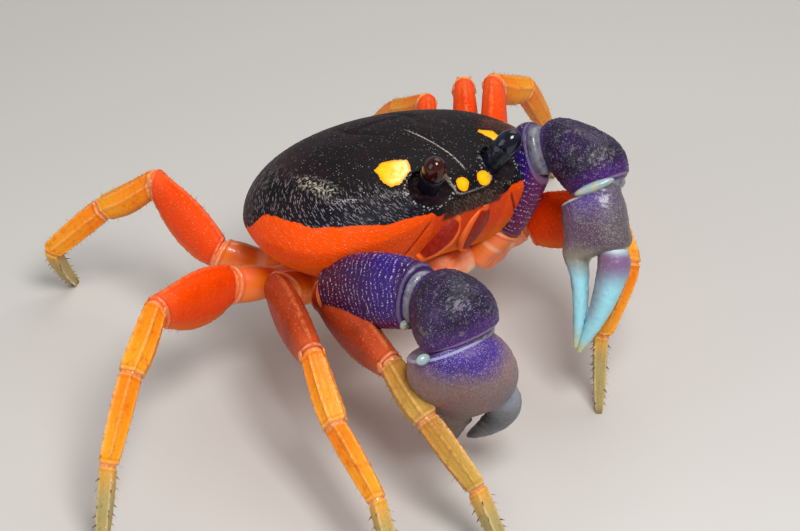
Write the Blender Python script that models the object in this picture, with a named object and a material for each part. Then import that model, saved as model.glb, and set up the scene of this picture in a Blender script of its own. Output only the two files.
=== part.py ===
"""A halloween moon crab at life size, standing with its nose up and both claws hanging in front.

Metres, +Z up, the crab faces -Y and its left side is +X. The body is laid out in its own level frame,
whose origin is in the middle of the body at the height of the leg roots, and is then tilted and raised.
Each leg is a chain of named lengths and angles that ends on the floor, z = 0.
"""

import math
import random

import bmesh
import bpy
from mathutils import Matrix, Vector

MM = 0.001
GAP = 0.3 * MM

# Carapace, in the level body frame.
SHELL_HALF_WIDTH = 26.6 * MM
SHELL_WIDEST_Y = -2.5 * MM
SHELL_FRONT_REACH = 17.0 * MM
SHELL_REAR_REACH = 22.5 * MM
SHELL_TOP_Z = 16.0 * MM
SHELL_BOTTOM_Z = -4.5 * MM
SHELL_SIDE_RIM_Z = 4.0 * MM
SHELL_FRONT_RIM_Z = 9.0 * MM
SHELL_SIDE_TUCK = 0.17
SHELL_FRONT_TUCK = 0.36
SHELL_CUTS = 15

# Under side.
THORAX_MIDDLE_Y = 1.5 * MM
THORAX_HALF_WIDTH = 14.0 * MM
THORAX_HALF_LENGTH = 13.0 * MM
THORAX_BOTTOM_Z = -10.5 * MM
PLEON_HALF_WIDTH = 4.2 * MM
PLEON_LENGTH = 18.0 * MM
PLEON_THICKNESS = 1.6 * MM

# Stance: how high the middle of the body stands, how it tilts, and its place over the middle of the feet.
BODY_HEIGHT = 25.0 * MM
NOSE_UP = math.radians(11.0)
LEFT_SIDE_DOWN = math.radians(6.0)
BODY_PLACE = Vector((5.5 * MM, -1.8 * MM, 0.0))

# Face. Each eye: the root of its stalk and the middle of its cornea, in mm of the level body frame.
EYES = {
    "l": ((5.9, -15.6, 10.4), (8.1, -18.7, 14.9)),
    "r": ((-5.9, -15.6, 10.4), (-7.1, -18.5, 14.5)),
}
EYE_RADII = (2.0 * MM, 2.0 * MM, 2.6 * MM)
ORBIT = (7.0 * MM, -16.9 * MM, 11.2 * MM)
ORBIT_RADIUS = 3.8 * MM
ORBIT_HEIGHT_RATIO = 1.3
ORBIT_DEPTH = 3.0 * MM

# Each mouth plate: its lower end, its upper end and the way it faces, in the level body frame.
MOUTH_PLATES = {
    "l": ((2.0, -14.2, -1.8), (3.4, -17.9, 5.8), (0.1, -0.95, -0.2)),
    "r": ((-8.4, -15.6, 0.2), (-2.6, -18.0, 5.6), (-0.5, -0.85, 0.2)),
}

# Colours: red, green, blue, then roughness.
FINISHES = {
    "black_shell": ((0.012, 0.009, 0.014), 0.32),
    "red_shell": ((0.78, 0.07, 0.008), 0.42),
    "orange_shell": ((0.80, 0.20, 0.012), 0.45),
    "straw_shell": ((0.45, 0.30, 0.09), 0.60),
    "pale_shell": ((0.72, 0.26, 0.12), 0.40),
    "violet_shell": ((0.06, 0.012, 0.16), 0.35),
    "mauve_shell": ((0.16, 0.09, 0.14), 0.50),
    "eye_dark": ((0.03, 0.004, 0.004), 0.10),
}


def clear_scene():
    for obj in list(bpy.data.objects):
        bpy.data.objects.remove(obj)


def finish_material(name):
    material = bpy.data.materials.get(name)
    if material is None:
        colour, roughness = FINISHES[name]
        material = bpy.data.materials.new(name)
        material.use_nodes = True
        shader = material.node_tree.nodes["Principled BSDF"]
        shader.inputs["Base Color"].default_value = (*colour, 1.0)
        shader.inputs["Roughness"].default_value = roughness
        shader.inputs["Metallic"].default_value = 0.0
    return material


def add_object(name, bm, finish):
    """Closes a bmesh into a named object with its faces pointing out."""
    bmesh.ops.recalc_face_normals(bm, faces=bm.faces[:])
    bmesh.ops.triangulate(bm, faces=[f for f in bm.faces if len(f.verts) > 4])
    mesh = bpy.data.meshes.new(name)
    bm.to_mesh(mesh)
    bm.free()
    mesh.shade_smooth()
    mesh.set_sharp_from_angle(angle=math.radians(50))
    mesh.materials.append(finish_material(finish))
    obj = bpy.data.objects.new(name, mesh)
    bpy.context.scene.collection.objects.link(obj)
    return obj


def body_matrix():
    """From the level body frame to the world: nose up, left side a little down, raised on its legs."""
    pitch = Matrix.Rotation(-NOSE_UP, 4, "X")
    roll = Matrix.Rotation(LEFT_SIDE_DOWN, 4, "Y")
    return Matrix.Translation(BODY_PLACE + Vector((0, 0, BODY_HEIGHT))) @ roll @ pitch


BODY = body_matrix()
PLACED = []


def signed_power(value, exponent):
    return math.copysign(abs(value) ** exponent, value)


def oval_ring(centre, side, up, half_side, half_up, half_down, sides, fullness=2.2):
    """Points of one cross-section: a superellipse whose upper and lower halves differ."""
    points = []
    for i in range(sides):
        angle = 2 * math.pi * (i + 0.5) / sides
        across = signed_power(math.cos(angle), 2 / fullness)
        along = signed_power(math.sin(angle), 2 / fullness)
        reach = half_up if along > 0 else half_down
        points.append(centre + side * (half_side * across) + up * (reach * along))
    return points


def loft(rings):
    """One closed body through rings of points that match one for one, extruded from the first ring."""
    bm = bmesh.new()
    start = bmesh.ops.create_circle(bm, segments=len(rings[0]), radius=1.0)["verts"]
    for vert, place in zip(start, rings[0]):
        vert.co = place
    current = start
    bm.faces.new(current)
    edges = list(bm.edges)
    for ring in rings[1:]:
        out = bmesh.ops.extrude_edge_only(bm, edges=edges)["geom"]
        at_place = {tuple(v.co): v for v in out if isinstance(v, bmesh.types.BMVert)}
        current = [at_place[tuple(v.co)] for v in current]
        edges = [e for e in out if isinstance(e, bmesh.types.BMEdge) and e.is_boundary]
        for vert, place in zip(current, ring):
            vert.co = place
    bm.faces.new(current)
    return bm


def limb(start, end, flat, profile, sides=10, bow=0.0, dome=0.6, tip=False, fullness=2.2):
    """A limb segment from start to end. flat is the unit normal of its flat side, profile lists
    (share of length, half height up, half height down, half thickness), and bow lifts its middle.
    Round domes run past both joints, so that a joint plane can cut two segments face to face."""
    along = (end - start).normalized()
    up = along.cross(flat).normalized()
    flat = up.cross(along).normalized()
    length = (end - start).length

    def ring(share, up_half, down_half, flat_half, beyond=0.0, shrink=1.0):
        centre = start + along * (length * share + beyond) + up * (bow * 4 * share * (1 - share))
        return oval_ring(centre, flat, up, flat_half * shrink, up_half * shrink,
                         down_half * shrink, sides, fullness)

    first, last = profile[0], profile[-1]
    reach_first = dome * (first[1] + first[2]) / 2
    reach_last = dome * (last[1] + last[2]) / 2
    rings = [ring(*first, beyond=-reach_first, shrink=0.35), ring(*first, beyond=-0.7 * reach_first, shrink=0.78)]
    rings += [ring(*row) for row in profile]
    if not tip:
        rings += [ring(*last, beyond=0.7 * reach_last, shrink=0.78), ring(*last, beyond=reach_last, shrink=0.35)]
    return loft(rings)


def slice_off(bm, point, normal):
    """Removes what lies beyond the plane, on the side its normal points to, and closes the cut."""
    geometry = bm.verts[:] + bm.edges[:] + bm.faces[:]
    bmesh.ops.bisect_plane(bm, geom=geometry, plane_co=point, plane_no=normal, dist=0.01 * MM, clear_outer=True)
    rim = [e for e in bm.edges if e.is_boundary]
    if rim:
        bmesh.ops.edgeloop_fill(bm, edges=rim)


def boolean(obj, operation, others, solver="EXACT"):
    """Applies one Boolean on a collection of objects, then removes them."""
    group = bpy.data.collections.new(obj.name + "_others")
    for other in others:
        group.objects.link(other)
    modifier = obj.modifiers.new("cut", "BOOLEAN")
    modifier.operation = operation
    modifier.solver = solver
    modifier.operand_type = "COLLECTION"
    modifier.collection = group
    graph = bpy.context.evaluated_depsgraph_get()
    mesh = bpy.data.meshes.new_from_object(obj.evaluated_get(graph))
    obj.modifiers.clear()
    obj.data = mesh
    for other in others:
        bpy.data.objects.remove(other)
    bpy.data.collections.remove(group)
    keep_largest(obj)


def keep_largest(obj):
    """Keeps only the largest closed surface of an object's mesh."""
    bm = bmesh.new()
    bm.from_mesh(obj.data)
    bmesh.ops.remove_doubles(bm, verts=bm.verts[:], dist=0.002 * MM)
    unseen = set(bm.verts)
    islands = []
    while unseen:
        front = [unseen.pop()]
        island = set(front)
        while front:
            for edge in front.pop().link_edges:
                for vert in edge.verts:
                    if vert in unseen:
                        unseen.discard(vert)
                        island.add(vert)
                        front.append(vert)
        islands.append(island)
    islands.sort(key=spread_of, reverse=True)
    for island in islands[1:]:
        bmesh.ops.delete(bm, geom=list(island), context="VERTS")
    bm.to_mesh(obj.data)
    bm.free()


def spread_of(verts):
    """The diagonal of a group of vertices' box."""
    low = [min(v.co[i] for v in verts) for i in range(3)]
    high = [max(v.co[i] for v in verts) for i in range(3)]
    return (Vector(high) - Vector(low)).length


def grown_copy(obj, margin):
    """A copy of an object, larger by margin all round, to cut clearance with."""
    bm = bmesh.new()
    bm.from_mesh(obj.data)
    bm.normal_update()
    moved = [v.co + v.normal * margin for v in bm.verts]
    for vert, place in zip(bm.verts, moved):
        vert.co = place
    mesh = bpy.data.meshes.new("grown_" + obj.name)
    bm.to_mesh(mesh)
    bm.free()
    copy = bpy.data.objects.new("grown_" + obj.name, mesh)
    bpy.context.scene.collection.objects.link(copy)
    copy.matrix_world = obj.matrix_world
    return copy


def box_of(obj):
    """The lowest and highest corner of an object's mesh, which needs no placing."""
    corners = [v.co for v in obj.data.vertices]
    return [[pick(c[i] for c in corners) for i in range(3)] for pick in (min, max)]


def boxes_meet(one, other):
    (low_one, high_one), (low_other, high_other) = box_of(one), box_of(other)
    return all(low_one[i] < high_other[i] + GAP and low_other[i] < high_one[i] + GAP for i in range(3))


def settle(obj, limb_name):
    """Cuts an object back from the pieces placed before it on other limbs, leaving the gap that
    touching pieces keep. Segments of one limb are parted by their joint planes instead."""
    near = [other for other, name in PLACED if name != limb_name and boxes_meet(obj, other)]
    if near:
        boolean(obj, "DIFFERENCE", [grown_copy(n, GAP * 1.15) for n in near])
    PLACED.append((obj, limb_name))


def shell_point(direction):
    """A point of the carapace, in the level body frame, for a direction from its middle."""
    flat = math.hypot(direction.x, direction.y)
    cross, fore = (direction.x / flat, direction.y / flat) if flat > 1e-9 else (1.0, 0.0)
    ahead = max(0.0, -fore)
    behind = max(0.0, fore)
    reach, exponent = (SHELL_FRONT_REACH, 2.4) if fore < 0 else (SHELL_REAR_REACH, 2.1)
    radius = ((abs(cross) / SHELL_HALF_WIDTH) ** exponent + (abs(fore) / reach) ** exponent) ** (-1 / exponent)
    rim_z = SHELL_SIDE_RIM_Z + (SHELL_FRONT_RIM_Z - SHELL_SIDE_RIM_Z) * ahead**3 - 1.0 * MM * behind**2
    if direction.z >= 0:
        out = flat ** (2 / 2.35)
        z = rim_z + (SHELL_TOP_Z - rim_z) * direction.z ** (2 / 2.1)
    else:
        depth = -direction.z
        out = flat ** (2 / 4.5)
        z = rim_z - (rim_z - SHELL_BOTTOM_Z) * depth ** (2 / 3.2)
        sink = (rim_z - z) / (rim_z - SHELL_BOTTOM_Z)
        out *= 1 - (SHELL_SIDE_TUCK + (SHELL_FRONT_TUCK - SHELL_SIDE_TUCK) * ahead**2) * sink**1.15
    return Vector((cross * radius * out, SHELL_WIDEST_Y + fore * radius * out, z))


def orbit_hollow(point, side):
    """How far the smooth oval hollow of an eye socket pulls a point in."""
    away = point - Vector((side * ORBIT[0], ORBIT[1], ORBIT[2]))
    away.z *= ORBIT_HEIGHT_RATIO
    share = away.length / ORBIT_RADIUS
    return ORBIT_DEPTH * (1 - share * share) ** 2 if share < 1 else 0.0


def make_carapace():
    bm = bmesh.new()
    bmesh.ops.create_cube(bm, size=2.0)
    bmesh.ops.subdivide_edges(bm, edges=bm.edges[:], cuts=SHELL_CUTS, use_grid_fill=True)
    for vert in bm.verts:
        # Tangent spacing keeps the faces of the rounded cube alike.
        spread = Vector([math.tan(c * math.pi / 4) for c in vert.co]).normalized()
        point = shell_point(spread)
        point.y += orbit_hollow(point, -1) + orbit_hollow(point, 1)
        vert.co = BODY @ point
    settle(add_object("carapace", bm, "black_shell"), "shell")


def make_thorax():
    """The breast plate: a low block under the carapace, narrower at the front and the rear."""
    rings = []
    for depth, scale in ((0.0, 0.98), (0.35, 1.0), (0.75, 0.93), (1.0, 0.72)):
        z = SHELL_BOTTOM_Z + 1.2 * MM + (THORAX_BOTTOM_Z - SHELL_BOTTOM_Z - 1.2 * MM) * depth
        ring = oval_ring(Vector((0, THORAX_MIDDLE_Y, z)), Vector((1, 0, 0)), Vector((0, 1, 0)),
                         THORAX_HALF_WIDTH * scale, THORAX_HALF_LENGTH * scale,
                         THORAX_HALF_LENGTH * scale, 24, 2.8)
        rings.append([BODY @ p for p in ring])
    settle(add_object("thorax", loft(rings), "pale_shell"), "thorax")


def make_pleon():
    """The narrow tail plate, folded forward under the breast."""
    rings = []
    for share, width in ((0.0, 0.85), (0.2, 1.0), (0.45, 0.86), (0.7, 0.6), (0.9, 0.36), (1.0, 0.16)):
        y = 13.0 * MM - PLEON_LENGTH * share
        drop = THORAX_BOTTOM_Z + 0.4 * MM + 2.6 * MM * (1 - share) ** 4
        centre = Vector((0, y, drop - PLEON_THICKNESS / 2))
        ring = oval_ring(centre, Vector((1, 0, 0)), Vector((0, 0, 1)), PLEON_HALF_WIDTH * width,
                         PLEON_THICKNESS, PLEON_THICKNESS * 0.6, 12, 2.6)
        rings.append([BODY @ p for p in ring])
    settle(add_object("pleon", loft(rings), "pale_shell"), "pleon")


def make_eye(tag):
    """A stalk out of the orbit and the oval cornea on its end."""
    root, middle = (BODY @ (Vector(place) * MM) for place in EYES[tag])
    lean = (middle - root).normalized()
    flat = lean.cross(Vector((0, 1, 0))).normalized()
    neck = middle - lean * 1.3 * MM
    profile = ((0.0, 1.6 * MM, 1.6 * MM, 1.6 * MM), (0.5, 1.75 * MM, 1.75 * MM, 1.75 * MM),
               (1.0, 1.9 * MM, 1.9 * MM, 1.9 * MM))
    stalk_bm = limb(root, neck, flat, profile, sides=12, dome=0.8)
    slice_off(stalk_bm, neck - lean * GAP / 2, lean)
    settle(add_object("eyestalk_" + tag, stalk_bm, "black_shell"), "eye_" + tag)
    eye_bm = bmesh.new()
    bmesh.ops.create_uvsphere(eye_bm, u_segments=14, v_segments=10, radius=1.0)
    turn = lean.to_track_quat("Z", "Y").to_matrix().to_4x4()
    size = Matrix.Diagonal((*EYE_RADII, 1.0))
    bmesh.ops.transform(eye_bm, matrix=Matrix.Translation(middle) @ turn @ size, verts=eye_bm.verts[:])
    slice_off(eye_bm, neck + lean * GAP / 2, -lean)
    settle(add_object("eye_" + tag, eye_bm, "eye_dark"), "eye_" + tag)


# A mouth plate's profile: share of length, thickness behind and in front, half width, in mm.
MOUTH_SHAPE = ((0.0, 1.2, 0.8, 0.9), (0.25, 1.9, 1.1, 1.9), (0.6, 1.9, 1.2, 2.35), (0.85, 1.9, 1.1, 1.9),
               (1.0, 1.2, 0.8, 0.9))


def make_maxilliped(tag):
    """One of the two leaf-shaped plates that close the mouth."""
    low, high = (BODY @ (Vector(place) * MM) for place in MOUTH_PLATES[tag][:2])
    flat = (high - low).cross(BODY.to_3x3() @ Vector(MOUTH_PLATES[tag][2])).normalized()
    plate = limb(low, high, flat, scaled(MOUTH_SHAPE, 1.0), sides=14)
    settle(add_object("maxilliped_" + tag, plate, "red_shell"), "mouth_" + tag)


# Walking legs, front pair to rear pair. The lengths are merus, carpus, propodus and dactylus, in mm.
LENGTHS = {2: (18.5, 10.0, 12.5, 13.5), 3: (20.0, 11.5, 14.5, 15.5), 4: (19.5, 11.0, 14.0, 15.0),
           5: (17.0, 12.0, 13.0, 13.5)}
COXA_Y = {2: -7.5, 3: -1.5, 4: 4.5, 5: 10.0}

# Where each hip ends, in mm of the level body frame: how far out, how far back and how high.
HIP_END = {
    "r2": (21.5, -8.3, -4.4), "r3": (23.4, 1.4, -5.6), "r4": (27.0, 9.0, -5.8), "r5": (22.4, 17.6, -4.2),
    "l2": (21.2, -8.0, -4.4), "l3": (24.5, 2.5, -3.0), "l4": (25.0, 9.0, -4.0), "l5": (22.6, 17.0, -4.0),
}

# Each leg's pose in degrees: for merus, carpus and propodus, how far it points back from straight out,
# and how far it rises. The dactylus takes the last bearing and the fall that brings its tip to the floor.
POSES = {
    "r2": ((-82, -5), (-87, -31), (-94, -34), -96),
    "r3": ((-67, 4), (-73, -40), (-75, -13), -78),
    "r4": ((-17, 19), (-29, -31), (-35, -36), -37),
    "r5": ((86, 26), (56, -36), (46, -43), 150),
    "l2": ((-77, 26), (-118, -22), (-184, -66), -130),
    "l3": ((48, 38), (14, -28), (20, -51), 21),
    "l4": ((52, 35), (47, -36), (47, -60), 47),
    "l5": ((50, 25), (78, -32), (77, -43), 77),
}


def bearing(side, back, rise):
    """The unit direction that points back from straight out by one angle and rises by the other."""
    back, rise = math.radians(back), math.radians(rise)
    return Vector((side * math.cos(back) * math.cos(rise), math.sin(back) * math.cos(rise), math.sin(rise)))


def flat_normal(start, end):
    """The level direction across a stretch of leg."""
    run = end - start
    return Vector((run.y, -run.x, 0)).normalized()


# Profiles of a leg's segments: share of length, half height up, half height down, half thickness, in mm.
HIP_SHAPE = ((0.0, 2.8, 2.6, 3.0), (0.3, 3.0, 2.8, 2.8), (0.5, 2.5, 2.3, 2.3), (0.75, 3.1, 2.9, 2.4),
             (1.0, 3.2, 3.1, 2.2))
MERUS_SHAPE = ((0.0, 3.1, 3.1, 2.1), (0.18, 4.2, 4.0, 2.4), (0.42, 4.7, 4.5, 2.5), (0.65, 4.3, 4.0, 2.4),
               (0.85, 3.3, 3.0, 2.2), (1.0, 2.7, 2.4, 1.9))
CARPUS_SHAPE = ((0.0, 2.1, 2.0, 1.8), (0.35, 2.6, 2.3, 2.0), (0.7, 2.8, 2.4, 2.1), (1.0, 2.4, 2.2, 1.9))
PROPODUS_SHAPE = ((0.0, 2.1, 2.0, 1.7), (0.3, 2.2, 2.2, 1.75), (0.7, 2.1, 2.0, 1.6), (1.0, 1.8, 1.7, 1.4))
DACTYLUS_SHAPE = ((0.0, 1.5, 1.5, 1.25), (0.3, 1.45, 1.4, 1.2), (0.65, 1.2, 1.1, 1.0), (0.88, 0.75, 0.7, 0.65),
                  (1.0, 0.4, 0.4, 0.4))
REAR_LEG_SCALE = 0.92
# How far a tip is drawn past the floor before it is cut off there, which leaves the foot its flat.
TIP_PAST_FLOOR = 0.9 * MM

# Spines of the tips: rows in degrees about the dactylus, then how many, how far and how large.
SPINE_ROWS = (45, 135, -45, -135)
SPINES_A_ROW = 5
SPINE_SPAN = (0.15, 0.76)
SPINE_LENGTH = 0.85 * MM
SPINE_WIDTH = 0.62 * MM
SPINE_SINK = 0.4 * MM
SPINE_LEAN = 0.75
SPINE_FLOOR_CLEARANCE = 0.5 * MM


def scaled(shape, scale):
    return tuple((row[0], *(size * MM * scale for size in row[1:])) for row in shape)


def leg_points(tag):
    """The joints of a walking leg, from its coxa to its tip on the floor."""
    side, pair = (1 if tag[0] == "l" else -1), int(tag[1])
    x, y, z = (size * MM for size in HIP_END[tag])
    coxa = BODY @ Vector((side * (THORAX_HALF_WIDTH - 2.2 * MM), COXA_Y[pair] * MM, THORAX_BOTTOM_Z + 3.0 * MM))
    points = [coxa, BODY @ Vector((side * x, y, z))]
    for (back, rise), length in zip(POSES[tag][:3], LENGTHS[pair]):
        points.append(points[-1] + bearing(side, back, rise) * length * MM)
    length = LENGTHS[pair][3] * MM
    fall = math.degrees(math.asin(min(0.98, points[-1].z / length)))
    points.append(points[-1] + bearing(side, POSES[tag][3], -fall) * length)
    return points


def joint_planes(points):
    """The plane at each inner joint of a chain, halfway between the two segments' directions."""
    planes = {}
    for i in range(1, len(points) - 1):
        before = (points[i] - points[i - 1]).normalized()
        after = (points[i + 1] - points[i]).normalized()
        planes[i] = (points[i], (before + after).normalized())
    return planes


def cut_at_joints(bm, planes, index):
    """Cuts segment number index of a chain at the joints before and after it."""
    if index in planes:
        point, normal = planes[index]
        slice_off(bm, point + normal * GAP / 2, -normal)
    if index + 1 in planes:
        point, normal = planes[index + 1]
        slice_off(bm, point - normal * GAP / 2, normal)


def spike(root, direction, length, width, sides=5):
    """A tapered cone that starts at root, as an object for a Boolean."""
    bm = bmesh.new()
    turn = direction.to_track_quat("Z", "Y").to_matrix().to_4x4()
    bmesh.ops.create_cone(bm, cap_ends=True, segments=sides, radius1=width / 2, radius2=width * 0.12,
                          depth=length, matrix=Matrix.Translation(root + direction * length / 2) @ turn)
    mesh = bpy.data.meshes.new("spike")
    bm.to_mesh(mesh)
    bm.free()
    obj = bpy.data.objects.new("spike", mesh)
    bpy.context.scene.collection.objects.link(obj)
    return obj


def row_at(shape, share):
    """A profile's sizes at a share of its length, on straight lines between its rows."""
    for low, high in zip(shape, shape[1:]):
        if share <= high[0]:
            part = (share - low[0]) / (high[0] - low[0])
            return [a + (b - a) * part for a, b in zip(low[1:], high[1:])]
    return list(shape[-1][1:])


def dactylus_spines(tag, start, end, flat, shape, bow):
    """Spines that lean towards the tip, in rows along the edges of a dactylus."""
    dice = random.Random("tip spines " + tag)
    along = (end - start).normalized()
    up = along.cross(flat).normalized()
    side = up.cross(along).normalized()
    spines = []
    for row in SPINE_ROWS:
        for i in range(SPINES_A_ROW):
            step = (i + dice.uniform(0.2, 0.7)) / SPINES_A_ROW
            share = SPINE_SPAN[0] + (SPINE_SPAN[1] - SPINE_SPAN[0]) * step
            angle = math.radians(row + dice.uniform(-6, 6))
            half_up, half_down, half_flat = row_at(shape, share)
            half = half_up if math.sin(angle) > 0 else half_down
            edge = side * (half_flat * math.cos(angle)) + up * (half * math.sin(angle))
            root = start.lerp(end, share) + up * (bow * 4 * share * (1 - share)) + edge
            lean = (edge.normalized() + along * SPINE_LEAN).normalized()
            length = SPINE_LENGTH * dice.uniform(0.85, 1.15)
            if (root + lean * length).z > SPINE_FLOOR_CLEARANCE:
                spines.append(spike(root - lean * SPINE_SINK, lean, length + SPINE_SINK, SPINE_WIDTH))
    return spines


def make_walking_leg(tag):
    points = leg_points(tag)
    reach = flat_normal(points[1], points[4])
    planes = joint_planes(points)
    scale = REAR_LEG_SCALE if tag[1] == "5" else 1.0
    rows = (
        ("hip", HIP_SHAPE, "pale_shell", 0.0),
        ("merus", MERUS_SHAPE, "red_shell", 0.4 * MM),
        ("carpus", CARPUS_SHAPE, "orange_shell", 0.4 * MM),
        ("propodus", PROPODUS_SHAPE, "orange_shell", 0.0),
        ("dactylus", DACTYLUS_SHAPE, "straw_shell", 0.5 * MM),
    )
    for index, (part, shape, finish, bow) in enumerate(rows):
        start, end = points[index], points[index + 1]
        is_tip = part == "dactylus"
        if is_tip:
            end = end + (end - start).normalized() * TIP_PAST_FLOOR
        flat = reach if part in ("merus", "carpus", "propodus") else flat_normal(start, end)
        bm = limb(start, end, flat, scaled(shape, scale), bow=bow, tip=is_tip)
        cut_at_joints(bm, planes, index)
        if is_tip:
            slice_off(bm, Vector((0, 0, 0)), Vector((0, 0, -1)))
        segment = add_object(f"leg_{tag}_{part}", bm, finish)
        if is_tip:
            # EXACT leaves now and then a spine unfused here.
            spines = dactylus_spines(tag, start, end, flat, scaled(shape, scale), bow)
            boolean(segment, "UNION", spines, solver="MANIFOLD")
        settle(segment, "leg_" + tag)


# Claw limbs. The root is in the level body frame. The other points stand over the floor, measured from
# below the middle of the body: where the hip ends, the elbow, the middle of the carpus, the wrist and
# the tip of the fixed finger. dactyl_side is the direction from the fixed finger to the movable one.
CLAWS = {
    "r": {
        "root": (-9.5, -9.0, -6.5),
        "hip_end": (-21.5, -11.5, 27.0),
        "elbow": (-19.3, -28.2, 33.3),
        "carpus": (-18.9, -34.6, 33.4),
        "carpus_radii": (6.6, 6.2, 6.6),
        "wrist": (-21.6, -37.8, 31.0),
        "tip": (-13.8, -29.6, 5.0),
        "dactyl_side": (0.755, -0.656, -0.1),
        "size": 1.08,
        # Where along the chela the teeth of its two fingers start and end.
        "palm_teeth": (17.2, 25.5),
        "dactyl_teeth": (16.5, 24.5),
        # Place along the chela, middle and half height towards the dactyl, half thickness.
        "palm": ((0.0, 0.5, 5.0, 4.0), (2.5, 1.0, 7.0, 4.9), (6.0, 1.4, 8.0, 5.2), (9.5, 1.5, 8.1, 5.0),
                 (12.6, 1.1, 7.3, 4.6), (15.0, -0.1, 5.7, 4.1), (17.5, -0.8, 4.4, 3.5), (20.5, -0.6, 3.5, 2.9),
                 (24.0, -0.4, 2.3, 2.0), (27.0, 0.0, 1.15, 1.1), (28.4, 0.1, 0.45, 0.45)),
        "dactyl": ((12.4, 6.2, 2.5, 2.6), (15.0, 7.4, 2.8, 2.8), (18.0, 7.9, 2.4, 2.4), (21.5, 7.0, 2.0, 2.0),
                   (24.5, 5.2, 1.5, 1.5), (26.5, 3.5, 0.9, 0.9), (27.3, 2.7, 0.45, 0.45)),
    },
    "l": {
        "root": (9.5, -9.0, -6.5),
        "hip_end": (12.5, -12.5, 24.5),
        "elbow": (16.4, -15.5, 40.0),
        "carpus": (19.6, -23.4, 38.6),
        "carpus_radii": (6.8, 5.0, 5.6),
        "wrist": (17.7, -27.4, 36.5),
        "tip": (9.5, -32.7, 12.0),
        "dactyl_side": (0.45, -0.89, 0.0),
        "size": 0.86,
        # Its closed fingers show no teeth from a step away.
        "palm_teeth": (0.0, 0.0),
        "dactyl_teeth": (0.0, 0.0),
        "palm": ((0.0, 0.0, 4.0, 3.0), (2.0, 0.1, 4.9, 3.6), (5.0, 0.6, 5.3, 3.9), (8.0, 1.2, 5.3, 3.7),
                 (9.6, -0.3, 3.7, 3.2), (11.2, -1.6, 2.2, 2.6), (14.0, -0.9, 1.5, 2.0), (18.0, -0.2, 1.2, 1.6),
                 (22.0, 0.0, 0.9, 1.1), (25.4, 0.0, 0.45, 0.45)),
        "dactyl": ((8.2, 3.6, 2.3, 2.3), (11.0, 4.4, 2.6, 2.5), (14.5, 4.1, 2.3, 2.2), (18.0, 3.4, 1.9, 1.8),
                   (21.5, 2.4, 1.4, 1.3), (24.5, 1.3, 0.8, 0.8), (26.0, 0.7, 0.45, 0.45)),
    },
}

# How much wider a claw's carpus is at the wrist than at its middle, how blunt it is towards the elbow,
# and how far past the elbow it is drawn before it is cut there.
CLAW_CARPUS_FLARE = 0.2
CLAW_CARPUS_BLUNT = 0.62
PAST_ELBOW = 1.05

CLAW_HIP_SHAPE = ((0.0, 3.0, 3.0, 2.8), (0.5, 3.1, 3.1, 2.9), (1.0, 3.6, 3.6, 2.9))
CLAW_MERUS_SHAPE = ((0.0, 3.6, 3.6, 2.6), (0.2, 4.9, 4.7, 3.0), (0.5, 5.5, 5.2, 3.4), (0.8, 5.4, 4.8, 3.5),
                    (1.0, 4.9, 4.2, 3.2))


def chela_loft(shape, wrist, along, toward, sides=16):
    """A body along the chela whose middle wanders towards the dactyl side, with a rounded start."""
    thick = along.cross(toward).normalized()
    start = shape[0]
    rows = [(start[0] - 2.0, start[1], start[2] * 0.45, start[3] * 0.45),
            (start[0] - 1.2, start[1], start[2] * 0.85, start[3] * 0.85), *shape]
    rings = []
    for place, middle, half_high, half_thick in rows:
        centre = wrist + along * (place * MM) + toward * (middle * MM)
        rings.append(oval_ring(centre, thick, toward, half_thick * MM, half_high * MM, half_high * MM, sides))
    return loft(rings)


TOOTH_PITCH = 1.55
TOOTH_HEIGHT = 0.6 * MM
TOOTH_WIDTH = 1.15 * MM
TOOTH_SINK = 0.6 * MM


def add_teeth(obj, shape, span, wrist, along, toward, facing):
    """Fuses low teeth to the edge of a claw finger. facing is 1 on the side towards the other finger
    of the palm, and -1 on the dactyl's."""
    teeth = []
    number = math.ceil(span[0] / TOOTH_PITCH - 0.25)
    while (number + 0.25) * TOOTH_PITCH < span[1]:
        place = (number + 0.25) * TOOTH_PITCH
        middle, half_high, _ = row_at(shape, place)
        edge = wrist + along * (place * MM) + toward * ((middle + facing * half_high) * MM)
        out = toward * facing
        teeth.append(spike(edge - out * TOOTH_SINK, out, TOOTH_HEIGHT + TOOTH_SINK, TOOTH_WIDTH))
        number += 1
    if teeth:
        boolean(obj, "UNION", teeth)


def make_claw_carpus(tag, claw, points, planes):
    """A rounded knuckle, cut flat where it meets the merus and the palm."""
    centre = over_floor(claw["carpus"])
    radii = Matrix.Diagonal((*(r * MM for r in claw["carpus_radii"]), 1.0))
    behind = (centre - points[2]).length / MM * PAST_ELBOW / claw["carpus_radii"][0]
    along = (points[3] - points[2]).normalized()
    turn = along.to_track_quat("X", "Z").to_matrix().to_4x4()
    bm = bmesh.new()
    bmesh.ops.create_uvsphere(bm, u_segments=18, v_segments=12, radius=1.0)
    for vert in bm.verts:
        flare = 1 + CLAW_CARPUS_FLARE * vert.co.x
        if vert.co.x < 0:
            radial = math.hypot(vert.co.y, vert.co.z)
            flare *= max(radial, 0.01) ** (CLAW_CARPUS_BLUNT - 1)
            vert.co.x *= behind
        vert.co.y *= flare
        vert.co.z *= flare
    bmesh.ops.transform(bm, matrix=Matrix.Translation(centre) @ turn @ radii, verts=bm.verts[:])
    cut_at_joints(bm, planes, 2)
    settle(add_object(f"claw_{tag}_carpus", bm, "violet_shell"), "claw_" + tag)


def over_floor(point):
    """A point of the stance, given in millimetres from below the middle of the body."""
    return BODY_PLACE + Vector(point) * MM


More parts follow.
